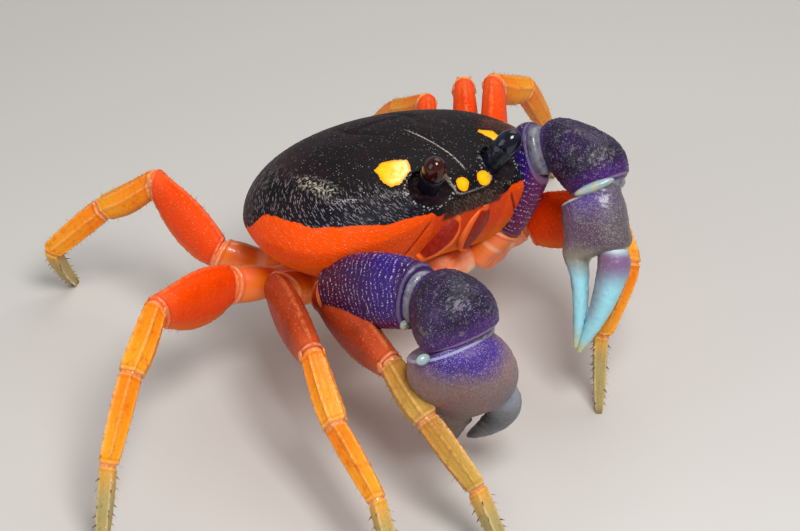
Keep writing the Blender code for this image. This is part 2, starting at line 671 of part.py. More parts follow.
def make_claw_limb(tag):
    claw = CLAWS[tag]
    root = BODY @ (Vector(claw["root"]) * MM)
    hip_end, elbow, wrist, tip = (over_floor(claw[k]) for k in ("hip_end", "elbow", "wrist", "tip"))
    points = [root, hip_end, elbow, wrist, tip]
    planes = joint_planes(points)
    size = claw["size"]
    hip_flat = (hip_end - root).cross(Vector((0, 0, 1))).normalized()
    hip_bm = limb(root, hip_end, hip_flat, scaled(CLAW_HIP_SHAPE, size), sides=14)
    cut_at_joints(hip_bm, planes, 0)
    settle(add_object(f"claw_{tag}_hip", hip_bm, "pale_shell"), "claw_" + tag)
    across = BODY.to_3x3() @ Vector((1, 0, 0))
    merus_bm = limb(hip_end, elbow, across, scaled(CLAW_MERUS_SHAPE, size), sides=14, bow=0.3 * MM)
    cut_at_joints(merus_bm, planes, 1)
    settle(add_object(f"claw_{tag}_merus", merus_bm, "violet_shell"), "claw_" + tag)
    make_claw_carpus(tag, claw, points, planes)
    along = (tip - wrist).normalized()
    toward = Vector(claw["dactyl_side"])
    toward = (toward - along * toward.dot(along)).normalized()
    palm_bm = chela_loft(claw["palm"], wrist, along, toward)
    cut_at_joints(palm_bm, planes, 3)
    palm = add_object(f"claw_{tag}_palm", palm_bm, "mauve_shell")
    add_teeth(palm, claw["palm"], claw["palm_teeth"], wrist, along, toward, 1)
    settle(palm, "palm_" + tag)
    dactyl = add_object(f"claw_{tag}_dactyl", chela_loft(claw["dactyl"], wrist, along, toward), "mauve_shell")
    add_teeth(dactyl, claw["dactyl"], claw["dactyl_teeth"], wrist, along, toward, -1)
    settle(dactyl, "dactyl_" + tag)


def main():
    clear_scene()
    make_carapace()
    make_thorax()
    make_pleon()
    for tag in EYES:
        make_eye(tag)
        make_maxilliped(tag)
    for tag in CLAWS:
        make_claw_limb(tag)
    for tag in POSES:
        make_walking_leg(tag)


main()
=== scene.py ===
import math
import random

import bmesh
import bpy
from bpy.props import FloatProperty, FloatVectorProperty, IntProperty, PointerProperty
from mathutils import Matrix, Vector, noise


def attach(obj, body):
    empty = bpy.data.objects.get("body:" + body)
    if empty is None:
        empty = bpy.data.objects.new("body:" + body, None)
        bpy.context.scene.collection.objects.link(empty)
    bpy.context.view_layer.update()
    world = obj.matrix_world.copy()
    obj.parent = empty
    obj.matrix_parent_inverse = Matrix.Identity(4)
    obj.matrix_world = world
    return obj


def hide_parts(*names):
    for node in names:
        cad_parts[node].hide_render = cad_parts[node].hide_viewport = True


bl_info = {
    "name": "Halloween Moon Crab",
    "version": (1, 0, 0),
    "blender": (4, 5, 0),
    "location": "View3D > Sidebar > Moon Crab",
    "description": "Dresses the crab's solids with shell, joints, bristles and colour, and sets its stage",
    "category": "Object",
}

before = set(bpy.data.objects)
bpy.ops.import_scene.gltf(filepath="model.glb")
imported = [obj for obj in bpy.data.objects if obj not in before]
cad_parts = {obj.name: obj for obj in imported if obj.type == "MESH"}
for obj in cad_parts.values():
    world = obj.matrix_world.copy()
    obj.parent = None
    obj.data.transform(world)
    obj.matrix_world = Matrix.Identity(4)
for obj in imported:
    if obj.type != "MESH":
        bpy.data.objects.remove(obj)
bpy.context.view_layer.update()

MM = 0.001
UP = Vector((0, 0, 1))

# The carapace in the level body frame, as in the solids, in millimetres.
SHELL_HALF_WIDTH = 26.6
SHELL_WIDEST_Y = -2.5
# Reach and roundness of its outline ahead of the widest place and behind it.
SHELL_FRONT = (17.0, 2.4)
SHELL_REAR = (22.5, 2.1)
# How square its section is over and under the rim, outward and upward.
SHELL_TOP_FULLNESS = (2.35, 2.1)
SHELL_LOW_FULLNESS = (4.5, 3.2)
SHELL_TOP_Z = 16.0
SHELL_MIDDLE_Z = 3.0
SHELL_BOTTOM_Z = -4.5
SHELL_SIDE_RIM_Z = 4.0
SHELL_FRONT_RIM_Z = 9.0
SHELL_SIDE_TUCK = 0.17
SHELL_FRONT_TUCK = 0.36
THORAX_MIDDLE_Y = 1.5
THORAX_HALF_WIDTH = 14.0
THORAX_HALF_LENGTH = 13.0
THORAX_BOTTOM_Z = -10.5
THORAX_FULLNESS = 2.8
THORAX_DEPTH_FULLNESS = 3.4
THORAX_SUTURES = (-4.6, 1.4, 7.2)
PLEON_HALF_WIDTH = 4.2
PLEON_LENGTH = 18.0
PLEON_THICKNESS = 1.6
PLEON_FRONT_Y = 13.0
PLEON_FULLNESS = 2.6
# Widths of the folded tail along its length, and the places of its joints, as shares.
PLEON_WIDTHS = ((0.0, 0.85), (0.2, 1.0), (0.45, 0.86), (0.7, 0.6), (0.9, 0.36), (1.0, 0.16))
PLEON_JOINTS = (0.14, 0.29, 0.44, 0.59, 0.74)
ORBIT = Vector((7.0, -16.9, 11.2))
ORBIT_RADIUS = 3.8
ORBIT_HEIGHT_RATIO = 1.3
ORBIT_DEPTH = 3.0
# The plate between the eyes.
PLATE_HALF_WIDTH = 3.9
PLATE_TOP_Z = 13.4
PLATE_DEPTH = 3.7
PLATE_BACK_Y = -13.5
# The granular line on each side: its height at one place across, and how fast it drops outward.
LINE_Z = 11.3
LINE_SIDE = 18.0
LINE_SLOPE = 0.05
# The seam below each corner of the mouth: a place on it, and how far out it runs as it drops.
SEAM_SIDE = 8.6
SEAM_Z = 6.5
SEAM_SLOPE = 0.62
# The pale strokes: distance round the side that goes with one radian, lean, and how close they lie.
STROKE_ROUND = 20.0
STROKE_LEAN = (0.78, 0.62)
STROKES_DEEP = 5.6

# Each eye: the root of its stalk and the middle of its cornea.
EYES = {
    "l": ((5.9, -15.6, 10.4), (8.1, -18.7, 14.9)),
    "r": ((-5.9, -15.6, 10.4), (-7.1, -18.5, 14.5)),
}
EYE_RADII = (2.0, 2.0, 2.6)
STALK_SHAPE = ((0.0, 1.7, 1.7, 1.7), (0.5, 1.75, 1.75, 1.75), (1.0, 1.93, 1.93, 1.93))
STALK_IN_EYE = 1.3

# Each mouth plate: its lower end, its upper end and the way it faces.
MOUTH_PLATES = {
    "l": ((2.0, -14.2, -1.8), (3.4, -17.9, 5.8), (0.1, -0.95, -0.2)),
    "r": ((-8.4, -15.6, 0.2), (-2.6, -18.0, 5.6), (-0.5, -0.85, 0.2)),
}
MOUTH_SHAPE = ((0.0, 1.2, 0.8, 0.9), (0.25, 1.9, 1.2, 1.9), (0.6, 1.9, 1.5, 2.35), (0.85, 1.9, 1.3, 1.9),
               (1.0, 1.2, 0.8, 0.9))
MOUTH_HAIRS = 230

# Stance: the body's height over the floor, its tilt and its place.
BODY_HEIGHT = 25.0
NOSE_UP = math.radians(11.0)
LEFT_SIDE_DOWN = math.radians(6.0)
BODY_PLACE = Vector((5.5, -1.8, 0.0))
BODY = (Matrix.Translation((BODY_PLACE + Vector((0, 0, BODY_HEIGHT))) * MM)
        @ Matrix.Rotation(LEFT_SIDE_DOWN, 4, "Y") @ Matrix.Rotation(-NOSE_UP, 4, "X"))

# Walking legs: lengths of merus, carpus, propodus and dactylus, in millimetres, and their poses in
# degrees: how far each points back from straight out, and how far it rises. The last is the dactylus.
LENGTHS = {2: (18.5, 10.0, 12.5, 13.5), 3: (20.0, 11.5, 14.5, 15.5), 4: (19.5, 11.0, 14.0, 15.0),
           5: (17.0, 12.0, 13.0, 13.5)}
COXA_Y = {2: -7.5, 3: -1.5, 4: 4.5, 5: 10.0}
COXA_INSET = 2.2
COXA_RISE = 3.0
HIP_END = {
    "r2": (21.5, -8.3, -4.4), "r3": (23.4, 1.4, -5.6), "r4": (27.0, 9.0, -5.8), "r5": (22.4, 17.6, -4.2),
    "l2": (21.2, -8.0, -4.4), "l3": (24.5, 2.5, -3.0), "l4": (25.0, 9.0, -4.0), "l5": (22.6, 17.0, -4.0),
}
POSES = {
    "r2": ((-82, -5), (-87, -31), (-94, -34), -96),
    "r3": ((-67, 4), (-73, -40), (-75, -13), -78),
    "r4": ((-17, 19), (-29, -31), (-35, -36), -37),
    "r5": ((86, 26), (56, -36), (46, -43), 150),
    "l2": ((-77, 26), (-118, -22), (-184, -66), -130),
    "l3": ((48, 38), (14, -28), (20, -51), 21),
    "l4": ((52, 35), (47, -36), (47, -60), 47),
    "l5": ((50, 25), (78, -32), (77, -43), 77),
}
REAR_LEG_SCALE = 0.92
TIP_PAST_FLOOR = 0.9
# The steepest fall of a dactylus, as height over length.
STEEPEST_FALL = 0.98

# A limb segment's shape: share of length, half height up, half height down, half thickness.
SHAPES = {
    "hip": ((0.0, 2.8, 2.6, 3.0), (0.3, 3.0, 2.8, 2.8), (0.5, 2.45, 2.2, 2.3), (0.75, 3.1, 2.9, 2.4),
            (1.0, 3.2, 3.1, 2.2)),
    "merus": ((0.0, 3.1, 3.1, 2.1), (0.18, 4.2, 4.0, 2.4), (0.42, 4.7, 4.5, 2.5), (0.65, 4.3, 4.0, 2.4),
              (0.85, 3.3, 3.0, 2.2), (1.0, 2.7, 2.4, 1.9)),
    "carpus": ((0.0, 2.1, 2.0, 1.8), (0.35, 2.6, 2.3, 2.0), (0.7, 2.8, 2.4, 2.1), (1.0, 2.4, 2.2, 1.9)),
    "propodus": ((0.0, 2.1, 2.0, 1.7), (0.3, 2.2, 2.2, 1.75), (0.7, 2.1, 2.0, 1.6), (1.0, 1.8, 1.7, 1.4)),
    "dactylus": ((0.0, 1.5, 1.5, 1.25), (0.3, 1.45, 1.4, 1.2), (0.65, 1.2, 1.1, 1.0),
                 (0.88, 0.75, 0.7, 0.65), (1.0, 0.4, 0.4, 0.4)),
    "claw_hip": ((0.0, 3.0, 3.0, 2.8), (0.5, 3.1, 3.1, 2.9), (1.0, 3.6, 3.6, 2.9)),
    "claw_merus": ((0.0, 3.6, 3.6, 2.6), (0.2, 4.9, 4.7, 3.0), (0.5, 5.5, 5.2, 3.4), (0.8, 5.4, 4.8, 3.5),
                   (1.0, 4.9, 4.2, 3.2)),
}
# A straight tube, whose axis is the line towards which the edge of a cut rounds in.
PLAIN_SHAPE = ((0, 1, 1, 1), (1, 1, 1, 1))
SEGMENTS = ("hip", "merus", "carpus", "propodus", "dactylus")
BOWS = {"merus": 0.4, "carpus": 0.4, "dactylus": 0.5}
LEG_SLOTS = {"hip": "pale_shell", "merus": "red_shell", "carpus": "orange_shell",
             "propodus": "orange_shell", "dactylus": "straw_shell"}
# How square a limb's section is: 2 is an oval, and more is squarer.
LIMB_FULLNESS = 2.2
DOME_STRETCH = 1.07
# How much of its keels' height a leg segment is thinner.
KEELS_SUNK = 0.35
# The knobs at a knee: half sizes over their radius, the radius, and their place in the half thickness.
LOBE_SHAPE = (0.30, 0.78, 0.92)
LOBE_RADIUS = 0.95 * MM
LOBE_OUT = 0.93

# Claw limbs: the root in the level body frame, and the joints over the floor from below the body.
CLAWS = {
    "r": {
        "root": (-9.5, -9.0, -6.5), "hip_end": (-21.5, -11.5, 27.0), "elbow": (-19.3, -28.2, 33.3),
        "carpus": (-18.9, -34.6, 33.4), "carpus_radii": (6.6, 6.2, 6.6), "wrist": (-21.6, -37.8, 31.0),
        "tip": (-13.8, -29.6, 5.0), "dactyl_side": (0.755, -0.656, -0.1), "size": 1.08,
        "palm": ((0.0, 0.5, 5.0, 4.0), (2.5, 1.0, 7.0, 4.9), (6.0, 1.4, 8.0, 5.2), (9.5, 1.5, 8.1, 5.0),
                 (12.6, 1.1, 7.3, 4.6), (15.0, -0.1, 5.7, 4.1), (17.5, -0.8, 4.4, 3.5),
                 (20.5, -0.6, 3.5, 2.9), (24.0, -0.4, 2.3, 2.0), (27.0, 0.0, 1.15, 1.1),
                 (28.4, 0.1, 0.45, 0.45)),
        "dactyl": ((12.4, 6.2, 2.5, 2.6), (15.0, 7.4, 2.8, 2.8), (18.0, 7.9, 2.4, 2.4), (21.5, 7.0, 2.0, 2.0),
                   (24.5, 5.2, 1.5, 1.5), (26.5, 3.5, 0.9, 0.9), (27.3, 2.7, 0.45, 0.45)),
        "palm_teeth": (17.2, 25.5), "dactyl_teeth": (16.5, 24.5),
    },
    "l": {
        "root": (9.5, -9.0, -6.5), "hip_end": (12.5, -12.5, 24.5), "elbow": (16.4, -15.5, 40.0),
        "carpus": (19.6, -23.4, 38.6), "carpus_radii": (6.8, 5.0, 5.6), "wrist": (17.7, -27.4, 36.5),
        "tip": (9.5, -32.7, 12.0), "dactyl_side": (0.45, -0.89, 0.0), "size": 0.86,
        "palm": ((0.0, 0.0, 4.0, 3.0), (2.0, 0.1, 4.9, 3.6), (5.0, 0.6, 5.3, 3.9), (8.0, 1.2, 5.3, 3.7),
                 (9.6, -0.3, 3.7, 3.2), (11.2, -1.6, 2.2, 2.6), (14.0, -0.9, 1.5, 2.0),
                 (18.0, -0.2, 1.2, 1.6), (22.0, 0.0, 0.9, 1.1), (25.4, 0.0, 0.45, 0.45)),
        "dactyl": ((8.2, 3.6, 2.3, 2.3), (11.0, 4.4, 2.6, 2.5), (14.5, 4.1, 2.3, 2.2), (18.0, 3.4, 1.9, 1.8),
                   (21.5, 2.4, 1.4, 1.3), (24.5, 1.3, 0.8, 0.8), (26.0, 0.7, 0.45, 0.45)),
        "palm_teeth": (11.2, 24.8), "dactyl_teeth": (16.0, 25.4),
    },
}
CLAW_CARPUS_FLARE = 0.2
# How blunt a claw's carpus is towards the elbow, and how far past the elbow it is drawn before the cut.
CLAW_CARPUS_BLUNT = 0.62
PAST_ELBOW = 1.05
ARM_BOW = 0.3
ARM_ROW_PITCH = 0.95 * MM
# The granules of a claw fade out over this distance from a joint.
CALM_REACH = 1.1 * MM
# A claw's edges and skins at its joints, in times those of a leg.
CLAW_LIP = 1.3
CLAW_SKIN_STRETCH = 1.4
# Teeth of the fingers, in millimetres, and how much of their height the small claw has.
TOOTH_HEIGHT = 0.62
TOOTH_PITCH = 1.55
SMALL_CLAW_TEETH = 0.25

# Rings along and sides around each kind of rolled surface.
GRIDS = {
    "breast": (90, 120), "tail": (110, 40), "stalk": (48, 40), "mouth": (80, 64), "leg": (64, 56),
    "arm": (170, 150), "knuckle": (150, 170), "palm": (200, 150), "finger": (130, 90),
}
SHARP_FROM = math.radians(60)
# Points closer than this are one point: at a surface's seam, in a cut, and round a cut's outline.
SEAM_MERGE = 0.002 * MM
CUT_MERGE = 0.004 * MM
RIM_MERGE = 0.012 * MM
# The edge at a joint: where loops are cut, how far in it reaches, in lips, and how far it swells out.
LIP_LOOPS = (1.6, 1.1, 0.8, 0.5, 0.25, 0.08)
LIP_REACH = 3
LIP_SWELL = 0.12 * MM
NEAR_AXIS = 0.2 * MM
# The skin in a joint: place across the slit, in gaps, and width over that of the cut.
SKIN_ROWS = ((-3.2, 0.70), (-2.2, 0.84), (-1.0, 0.875), (0.0, 0.865), (1.0, 0.875), (2.2, 0.84), (3.2, 0.70))
FLOOR_CLEARANCE = 0.2 * MM
SPINE_LIFT = 0.1 * MM
# How far light reaches into the translucent parts.
LIGHT_REACH = 1.2 * MM


def colour_property(name, description, default):
    return FloatVectorProperty(name=name, description=description, default=default, subtype="COLOR",
                               min=0.0, max=1.0)


class CrabSizes(bpy.types.PropertyGroup):
    """Sizes of the fine work on the shell."""

    shell_cuts: IntProperty(
        name="Carapace cuts", description="Cuts across each side of the cube the carapace starts from",
        default=110, min=20, max=170)
    joint_gap: FloatProperty(
        name="Joint gap", description="Width of the slit between two segments of a limb",
        default=0.3 * MM, unit="LENGTH")
    lip: FloatProperty(
        name="Lip", description="Radius that rounds the edge of a segment at its joint",
        default=0.32 * MM, unit="LENGTH")
    granule: FloatProperty(
        name="Granule", description="Height of the granules on the claws",
        default=0.13 * MM, unit="LENGTH")
    bristle_length: FloatProperty(
        name="Bristle length", description="Length of the bristles along the edges of the legs",
        default=0.9 * MM, unit="LENGTH")
    bristle_width: FloatProperty(
        name="Bristle width", description="Width of a bristle at its root",
        default=0.09 * MM, unit="LENGTH")
    spine_length: FloatProperty(
        name="Spine length", description="Length of the spines on the tips of the legs",
        default=0.85 * MM, unit="LENGTH")
    spine_width: FloatProperty(
        name="Spine width", description="Width of a spine at its root",
        default=0.34 * MM, unit="LENGTH")


class CrabColours(bpy.types.PropertyGroup):
    """Colours of the crab."""

    black: colour_property("Black shell", "Top of the carapace", (0.0075, 0.0056, 0.0066))
    plum: colour_property("Plum sheen", "Brown violet cast in the black", (0.030, 0.012, 0.016))
    flank: colour_property("Flank", "Sides of the carapace under the black", (0.87, 0.072, 0.0))
    flank_edge: colour_property("Flank edge", "Lower edge of the flank", (0.93, 0.20, 0.001))
    spot: colour_property("Spot", "Yellow spots of the face", (1.0, 0.50, 0.004))
    spot_middle: colour_property("Spot middle", "Paler side of the large spots", (1.0, 0.86, 0.38))
    merus: colour_property("Leg red", "Broad upper segments of the legs", (0.84, 0.058, 0.0))
    orange: colour_property("Leg orange", "Middle segments of the legs", (0.88, 0.20, 0.001))
    yellow: colour_property("Leg yellow", "Lower end of the middle segments", (0.88, 0.36, 0.015))
    # Browner, darker red of the two right legs in front: painted shade of the large claw on the foremost, and
    # a browner red on the one behind it.
    merus_brown_and_shade: colour_property("Leg brown red", "Upper segments of the two right legs in front",
                                 (0.40, 0.045, 0.010))
    # Duller olive of the foremost right leg's middle segments: a yellow-brown darkened as painted shade of
    # the large claw over that leg.
    olive_and_shade: colour_property("Leg olive", "Middle segments of the foremost right leg", (0.50, 0.22, 0.035))
    olive_yellow_and_shade: colour_property("Leg olive yellow", "Lower end of those segments", (0.52, 0.34, 0.07))
    straw: colour_property("Straw", "Tips of the legs", (0.48, 0.37, 0.13))
    coral: colour_property("Coral", "Roots of the legs", (0.88, 0.17, 0.045))
    pale: colour_property("Membrane", "Skin in the joints and pale rims", (0.88, 0.50, 0.30))
    violet: colour_property("Claw violet", "Upper claw limbs", (0.028, 0.005, 0.075))
    maroon: colour_property("Claw maroon", "Root of the claw limb's broad segment", (0.048, 0.004, 0.028))
    arm_blue: colour_property("Arm blue", "Band before the elbow", (0.026, 0.006, 0.17))
    blue: colour_property("Claw blue", "Band at the wrist", (0.052, 0.018, 0.240))
    mauve: colour_property("Claw mauve", "Middle of the large palm", (0.24, 0.145, 0.140))
    drab: colour_property("Claw drab", "Lower end of the large palm", (0.150, 0.090, 0.070))
    slate: colour_property("Claw slate", "Finger of the large claw", (0.105, 0.115, 0.150))
    sky: colour_property("Claw sky blue", "Fingers of the small claw", (0.30, 0.66, 0.76))
    granule: colour_property("Granule", "Pale granules of the claws", (0.60, 0.50, 0.66))
    knob: colour_property("Claw knob", "Pale knobs and plate in the claws' joints", (0.40, 0.39, 0.29))
    cornea: colour_property("Cornea", "Maroon of the right eye", (0.020, 0.0016, 0.0012))
    cornea_dark: colour_property("Dark cornea", "Blue black of the left eye", (0.0040, 0.0040, 0.0080))
    mouth: colour_property("Mouth plate", "Middle of the mouth plates", (0.24, 0.008, 0.001))
    hair: colour_property("Hair", "Hairs about the mouth and bristles", (0.07, 0.036, 0.022))


class CrabStage(bpy.types.PropertyGroup):
    """The floor and the light."""

    floor: colour_property("Floor", "Colour of the plain floor", (0.55, 0.53, 0.50))
    key_power: FloatProperty(name="Key light", description="Power of the main lamp in watts", default=1.35)
    fill_power: FloatProperty(name="Fill light", description="Power of the side lamp in watts", default=0.5)
    rim_power: FloatProperty(name="Rim light", description="Power of the lamp behind in watts", default=0.5)
    sky_strength: FloatProperty(name="Sky", description="Strength of the even light", default=0.26)


# Shader maths


class Wire:
    """One output socket of a material, on which Python's operators add Math nodes."""

    def __init__(self, finish, socket):
        self.finish = finish
        self.socket = socket

    def output(self, index):
        return Wire(self.finish, self.socket.node.outputs[index])

    def maths(self, operation, *values):
        return self.finish.node("ShaderNodeMath", {"operation": operation}, dict(enumerate(values)))

    def __add__(self, other):
        return self.maths("ADD", self, other)

    def __sub__(self, other):
        return self.maths("SUBTRACT", self, other)

    def __rsub__(self, other):
        return self.maths("SUBTRACT", other, self)

    def __mul__(self, other):
        return self.maths("MULTIPLY", self, other)

    def __truediv__(self, other):
        return self.maths("DIVIDE", self, other)

    def __pow__(self, other):
        return self.maths("POWER", self, other)

    def __abs__(self):
        return self.maths("ABSOLUTE", self)

    __radd__ = __add__
    __rmul__ = __mul__

    def most(self, other):
        return self.maths("MAXIMUM", self, other)

    def step(self, low, high):
        """Rises smoothly from 0 at low to 1 at high, or falls if low is the larger."""
        return self.finish.node(
            "ShaderNodeMapRange", {"interpolation_type": "SMOOTHSTEP"},
            {"Value": self, "From Min": low, "From Max": high, "To Min": 0.0, "To Max": 1.0})


class Finish:
    """A material under construction: one Principled shader and the nodes that feed it."""

    def __init__(self, name, coat=0.0, coat_roughness=0.1, specular=0.5, subsurface=0.0):
        self.material = bpy.data.materials.new(name)
        self.material.use_nodes = True
        self.tree = self.material.node_tree
        self.shader = self.tree.nodes["Principled BSDF"].inputs
        fixed = {"Coat Weight": coat, "Coat Roughness": coat_roughness, "Specular IOR Level": specular,
                 "Subsurface Weight": subsurface, "Subsurface Scale": LIGHT_REACH}
        for socket, value in fixed.items():
            self.fill(self.shader[socket], value)
        self.place = self.node("ShaderNodeTexCoord").output(3)

    def node(self, kind, settings=None, inputs=None, output=0):
        """Adds one node, sets its settings, then fills its sockets with values or links."""
        made = self.tree.nodes.new(kind)
        for name, value in (settings or {}).items():
            setattr(made, name, value)
        for key, value in (inputs or {}).items():
            self.fill(made.inputs[key], value)
        return Wire(self, made.outputs[output])

    def fill(self, socket, value):
        if isinstance(value, Wire):
            self.tree.links.new(value.socket, socket)
        elif socket.type == "RGBA":
            socket.default_value = (*value[:3], 1.0)
        else:
            socket.default_value = value

    def mark(self, name):
        """A value that the mesh carries at each of its points."""
        return self.node("ShaderNodeAttribute", {"attribute_name": name}, output=2)

    def clouds(self, size, detail=3.0, roughness=0.5):
        """Soft noise from 0 to 1 whose patches have about that size in millimetres."""
        return self.node("ShaderNodeTexNoise", {}, {"Vector": self.place, "Scale": 1.0 / (size * MM),
                                                    "Detail": detail, "Roughness": roughness})

    def grains(self, size, randomness=1.0):
        """Distance to the middle of the nearest grain, for grains of about that size in millimetres."""
        return self.node("ShaderNodeTexVoronoi", {}, {"Vector": self.place, "Scale": 1.0 / (size * MM),
                                                      "Randomness": randomness})

    def vector(self, x, y, z):
        return self.node("ShaderNodeCombineXYZ", {}, {0: x, 1: y, 2: z})

    def distance(self, place, centre):
        return self.node("ShaderNodeVectorMath", {"operation": "DISTANCE"}, {0: place, 1: centre}, output=1)

    def blend(self, factor, first, second):
        return self.node("ShaderNodeMix", {"data_type": "RGBA"}, {0: factor, 6: first, 7: second}, output=2)

    def paint(self, ground, *layers):
        """A ground colour under layers, each a mask from 0 to 1 and the colour that it lets through."""
        for mask, colour in layers:
            ground = self.blend(mask, ground, colour)
        return ground

    def done(self, colour, roughness, relief=None, depth=0.0, strength=1.0):
        """Sets what changes over the surface, with the depth of its relief in millimetres."""
        self.fill(self.shader["Base Color"], colour)
        self.fill(self.shader["Roughness"], roughness)
        if relief is not None:
            bump = {"Height": relief, "Distance": depth * MM, "Strength": strength}
            self.fill(self.shader["Normal"], self.node("ShaderNodeBump", {}, bump))
        return self.material


class Tint:
    """Shades that are laid over the crab's main colours."""

    # Carapace
    blue_black = (0.005, 0.006, 0.016)
    scratch = (0.38, 0.35, 0.36)
    scuff = (0.52, 0.47, 0.36)
    granular_line = (0.46, 0.42, 0.42)
    dust = (0.42, 0.38, 0.38)
    groove_dots = (0.55, 0.47, 0.42)
    plate_margin = (0.50, 0.42, 0.36)
    socket_rim = (0.50, 0.46, 0.46)
    socket_dark = (0.010, 0.004, 0.006)
    socket_brown = (0.060, 0.026, 0.026)
    spot_edge = (1.0, 0.30, 0.002)
    small_spot_edge = (1.0, 0.34, 0.002)
    brown_band = (0.26, 0.06, 0.02)
    flank_red = (0.74, 0.042, 0.002)
    flank_dots = (1.0, 0.50, 0.26)
    flank_strokes = (1.0, 0.50, 0.25)
    cheek = (0.62, 0.030, 0.001)
    seam = (0.16, 0.010, 0.004)
    field_dark = (0.009, 0.005, 0.005)
    field_brown = (0.13, 0.075, 0.06)

    # Under side, eyes and mouth
    suture = (0.30, 0.10, 0.05)
    under_specks = (0.45, 0.14, 0.05)
    left_eye_gleam = (0.010, 0.014, 0.040)
    right_eye_gleam = (0.050, 0.004, 0.003)
    stalk_black = (0.004, 0.004, 0.008)
    stalk_blue = (0.010, 0.012, 0.026)
    stalk_root = (0.075, 0.028, 0.026)
    mouth_mottle = (0.40, 0.022, 0.003)
    mouth_edge = (0.90, 0.115, 0.004)
    mouth_rim = (0.92, 0.36, 0.12)
    pale_hair = (0.17, 0.11, 0.08)

    # Walking legs
    merus_dark = (0.62, 0.030, 0.001)
    # Tones of the browner, darker red, which is partly painted shade of the large claw.
    merus_brown_and_shade_dark = (0.13, 0.011, 0.003)
    merus_brown_and_shade_below = (0.42, 0.13, 0.05)
    # Painted highlights on the granules.
    merus_grain_highlights = (1.0, 0.36, 0.12)
    # Painted highlight along the keels.
    merus_keel_highlight = (0.95, 0.30, 0.09)
    merus_rim = (0.45, 0.03, 0.004)
    shank_streak = (0.62, 0.085, 0.001)
    # Streaks of the duller olive, darkened with it as painted shade.
    shank_olive_and_shade_streak = (0.30, 0.10, 0.02)
    # Painted highlight along the keels.
    shank_keel_highlight = (0.95, 0.50, 0.16)
    shank_specks = (0.16, 0.05, 0.01)
    shank_rim = (0.45, 0.09, 0.01)
    tip_olive = (0.34, 0.26, 0.10)
    # Painted highlight along the keels.
    tip_keel_highlight = (0.66, 0.52, 0.24)
    tip_end = (0.12, 0.075, 0.03)
    tip_specks = (0.15, 0.09, 0.03)
    root_ring = (0.80, 0.12, 0.06)
    root_rim = (0.55, 0.07, 0.02)
    skin_light = (0.80, 0.29, 0.09)
    skin_dark = (0.66, 0.17, 0.04)
    pale_bristle = (0.62, 0.46, 0.28)

    # Arm and knuckle
    arm_below = (0.15, 0.006, 0.07)
    arm_shade = (0.014, 0.004, 0.030)
    arm_rim = (0.30, 0.28, 0.34)
    knuckle_black = (0.012, 0.007, 0.022)
    knuckle_violet = (0.026, 0.006, 0.058)
    knuckle_edge = (0.062, 0.006, 0.150)
    knuckle_crest = (0.42, 0.38, 0.48)
    knuckle_beads = (0.34, 0.35, 0.44)
    knuckle_scuff = (0.34, 0.29, 0.22)
    knuckle_rim = (0.38, 0.26, 0.42)

    # Large palm and finger
    palm_violet = (0.125, 0.066, 0.17)
    palm_grey = (0.135, 0.125, 0.155)
    palm_rose = (0.30, 0.10, 0.12)
    palm_dust = (0.52, 0.44, 0.46)
    palm_beads = (0.56, 0.50, 0.52)
    palm_pits = (0.05, 0.03, 0.05)
    palm_teeth = (0.055, 0.045, 0.05)
    palm_rim = (0.44, 0.46, 0.60)
    finger_grey = (0.175, 0.18, 0.19)
    finger_root = (0.30, 0.32, 0.40)
    finger_dust = (0.36, 0.37, 0.42)
    finger_teeth = (0.04, 0.04, 0.05)

    # Small palm and fingers
    small_palm_blue = (0.060, 0.020, 0.21)
    small_palm_mauve = (0.088, 0.046, 0.080)
    small_palm_drab = (0.105, 0.088, 0.085)
    small_palm_end = (0.26, 0.23, 0.17)
    small_palm_shade = (0.15, 0.11, 0.20)
    small_palm_tip = (0.52, 0.46, 0.16)
    small_palm_dust = (0.55, 0.52, 0.56)
    small_palm_beads = (0.52, 0.48, 0.44)
    small_palm_specks = (0.06, 0.12, 0.20)
    small_palm_teeth = (0.10, 0.13, 0.16)
    small_palm_rim = (0.60, 0.66, 0.58)
    small_finger_root = (0.62, 0.80, 0.80)
    small_finger_violet = (0.20, 0.11, 0.24)
    small_finger_inside = (0.20, 0.105, 0.15)
    small_finger_tip = (0.56, 0.50, 0.14)
    small_finger_specks = (0.06, 0.10, 0.20)
    small_finger_dust = (0.60, 0.62, 0.66)

    # Claw joints and floor
    claw_skin_light = (0.17, 0.17, 0.20)
    claw_skin_dark = (0.07, 0.06, 0.11)
    knob_blue = (0.26, 0.38, 0.42)
    floor_patch = (0.50, 0.48, 0.45)


# Mesh tools


def signed_power(value, exponent):
    return math.copysign(abs(value) ** exponent, value)


def oval(angle, fullness):
    """The cosine and sine of an angle on an oval. A fullness of 2 is a circle, and more is squarer."""
    return signed_power(math.cos(angle), 2 / fullness), signed_power(math.sin(angle), 2 / fullness)


def limited(value, low=0.0, high=1.0):
    return max(low, min(high, value))


def bell(distance, width):
    return math.exp(-((distance / width) ** 2))


def domed(share):
    """How far a dome has narrowed at a share of its height."""
    return math.sqrt(max(0.0, 1 - share**2))


def between(rows, place):
    """The row of a profile at a place along it, on a smooth curve through its rows."""
    last = len(rows) - 1
    index = 0
    while index < last - 1 and place > rows[index + 1][0]:
        index += 1
    before, low, high, after = (rows[max(0, min(last, index + i))] for i in (-1, 0, 1, 2))
    span = high[0] - low[0]
    t = limited((place - low[0]) / span)
    values = []
    for k in range(1, len(low)):
        rise_low = (high[k] - before[k]) / (high[0] - before[0]) * span
        rise_high = (after[k] - low[k]) / (after[0] - low[0]) * span
        values.append((2 * t**3 - 3 * t**2 + 1) * low[k] + (t**3 - 2 * t**2 + t) * rise_low
                      + (3 * t**2 - 2 * t**3) * high[k] + (t**3 - t**2) * rise_high)
    return values


def from_body(x, y, z):
    """A point of the level body frame, in millimetres, in the world in metres."""
    return BODY @ (Vector((x, y, z)) * MM)


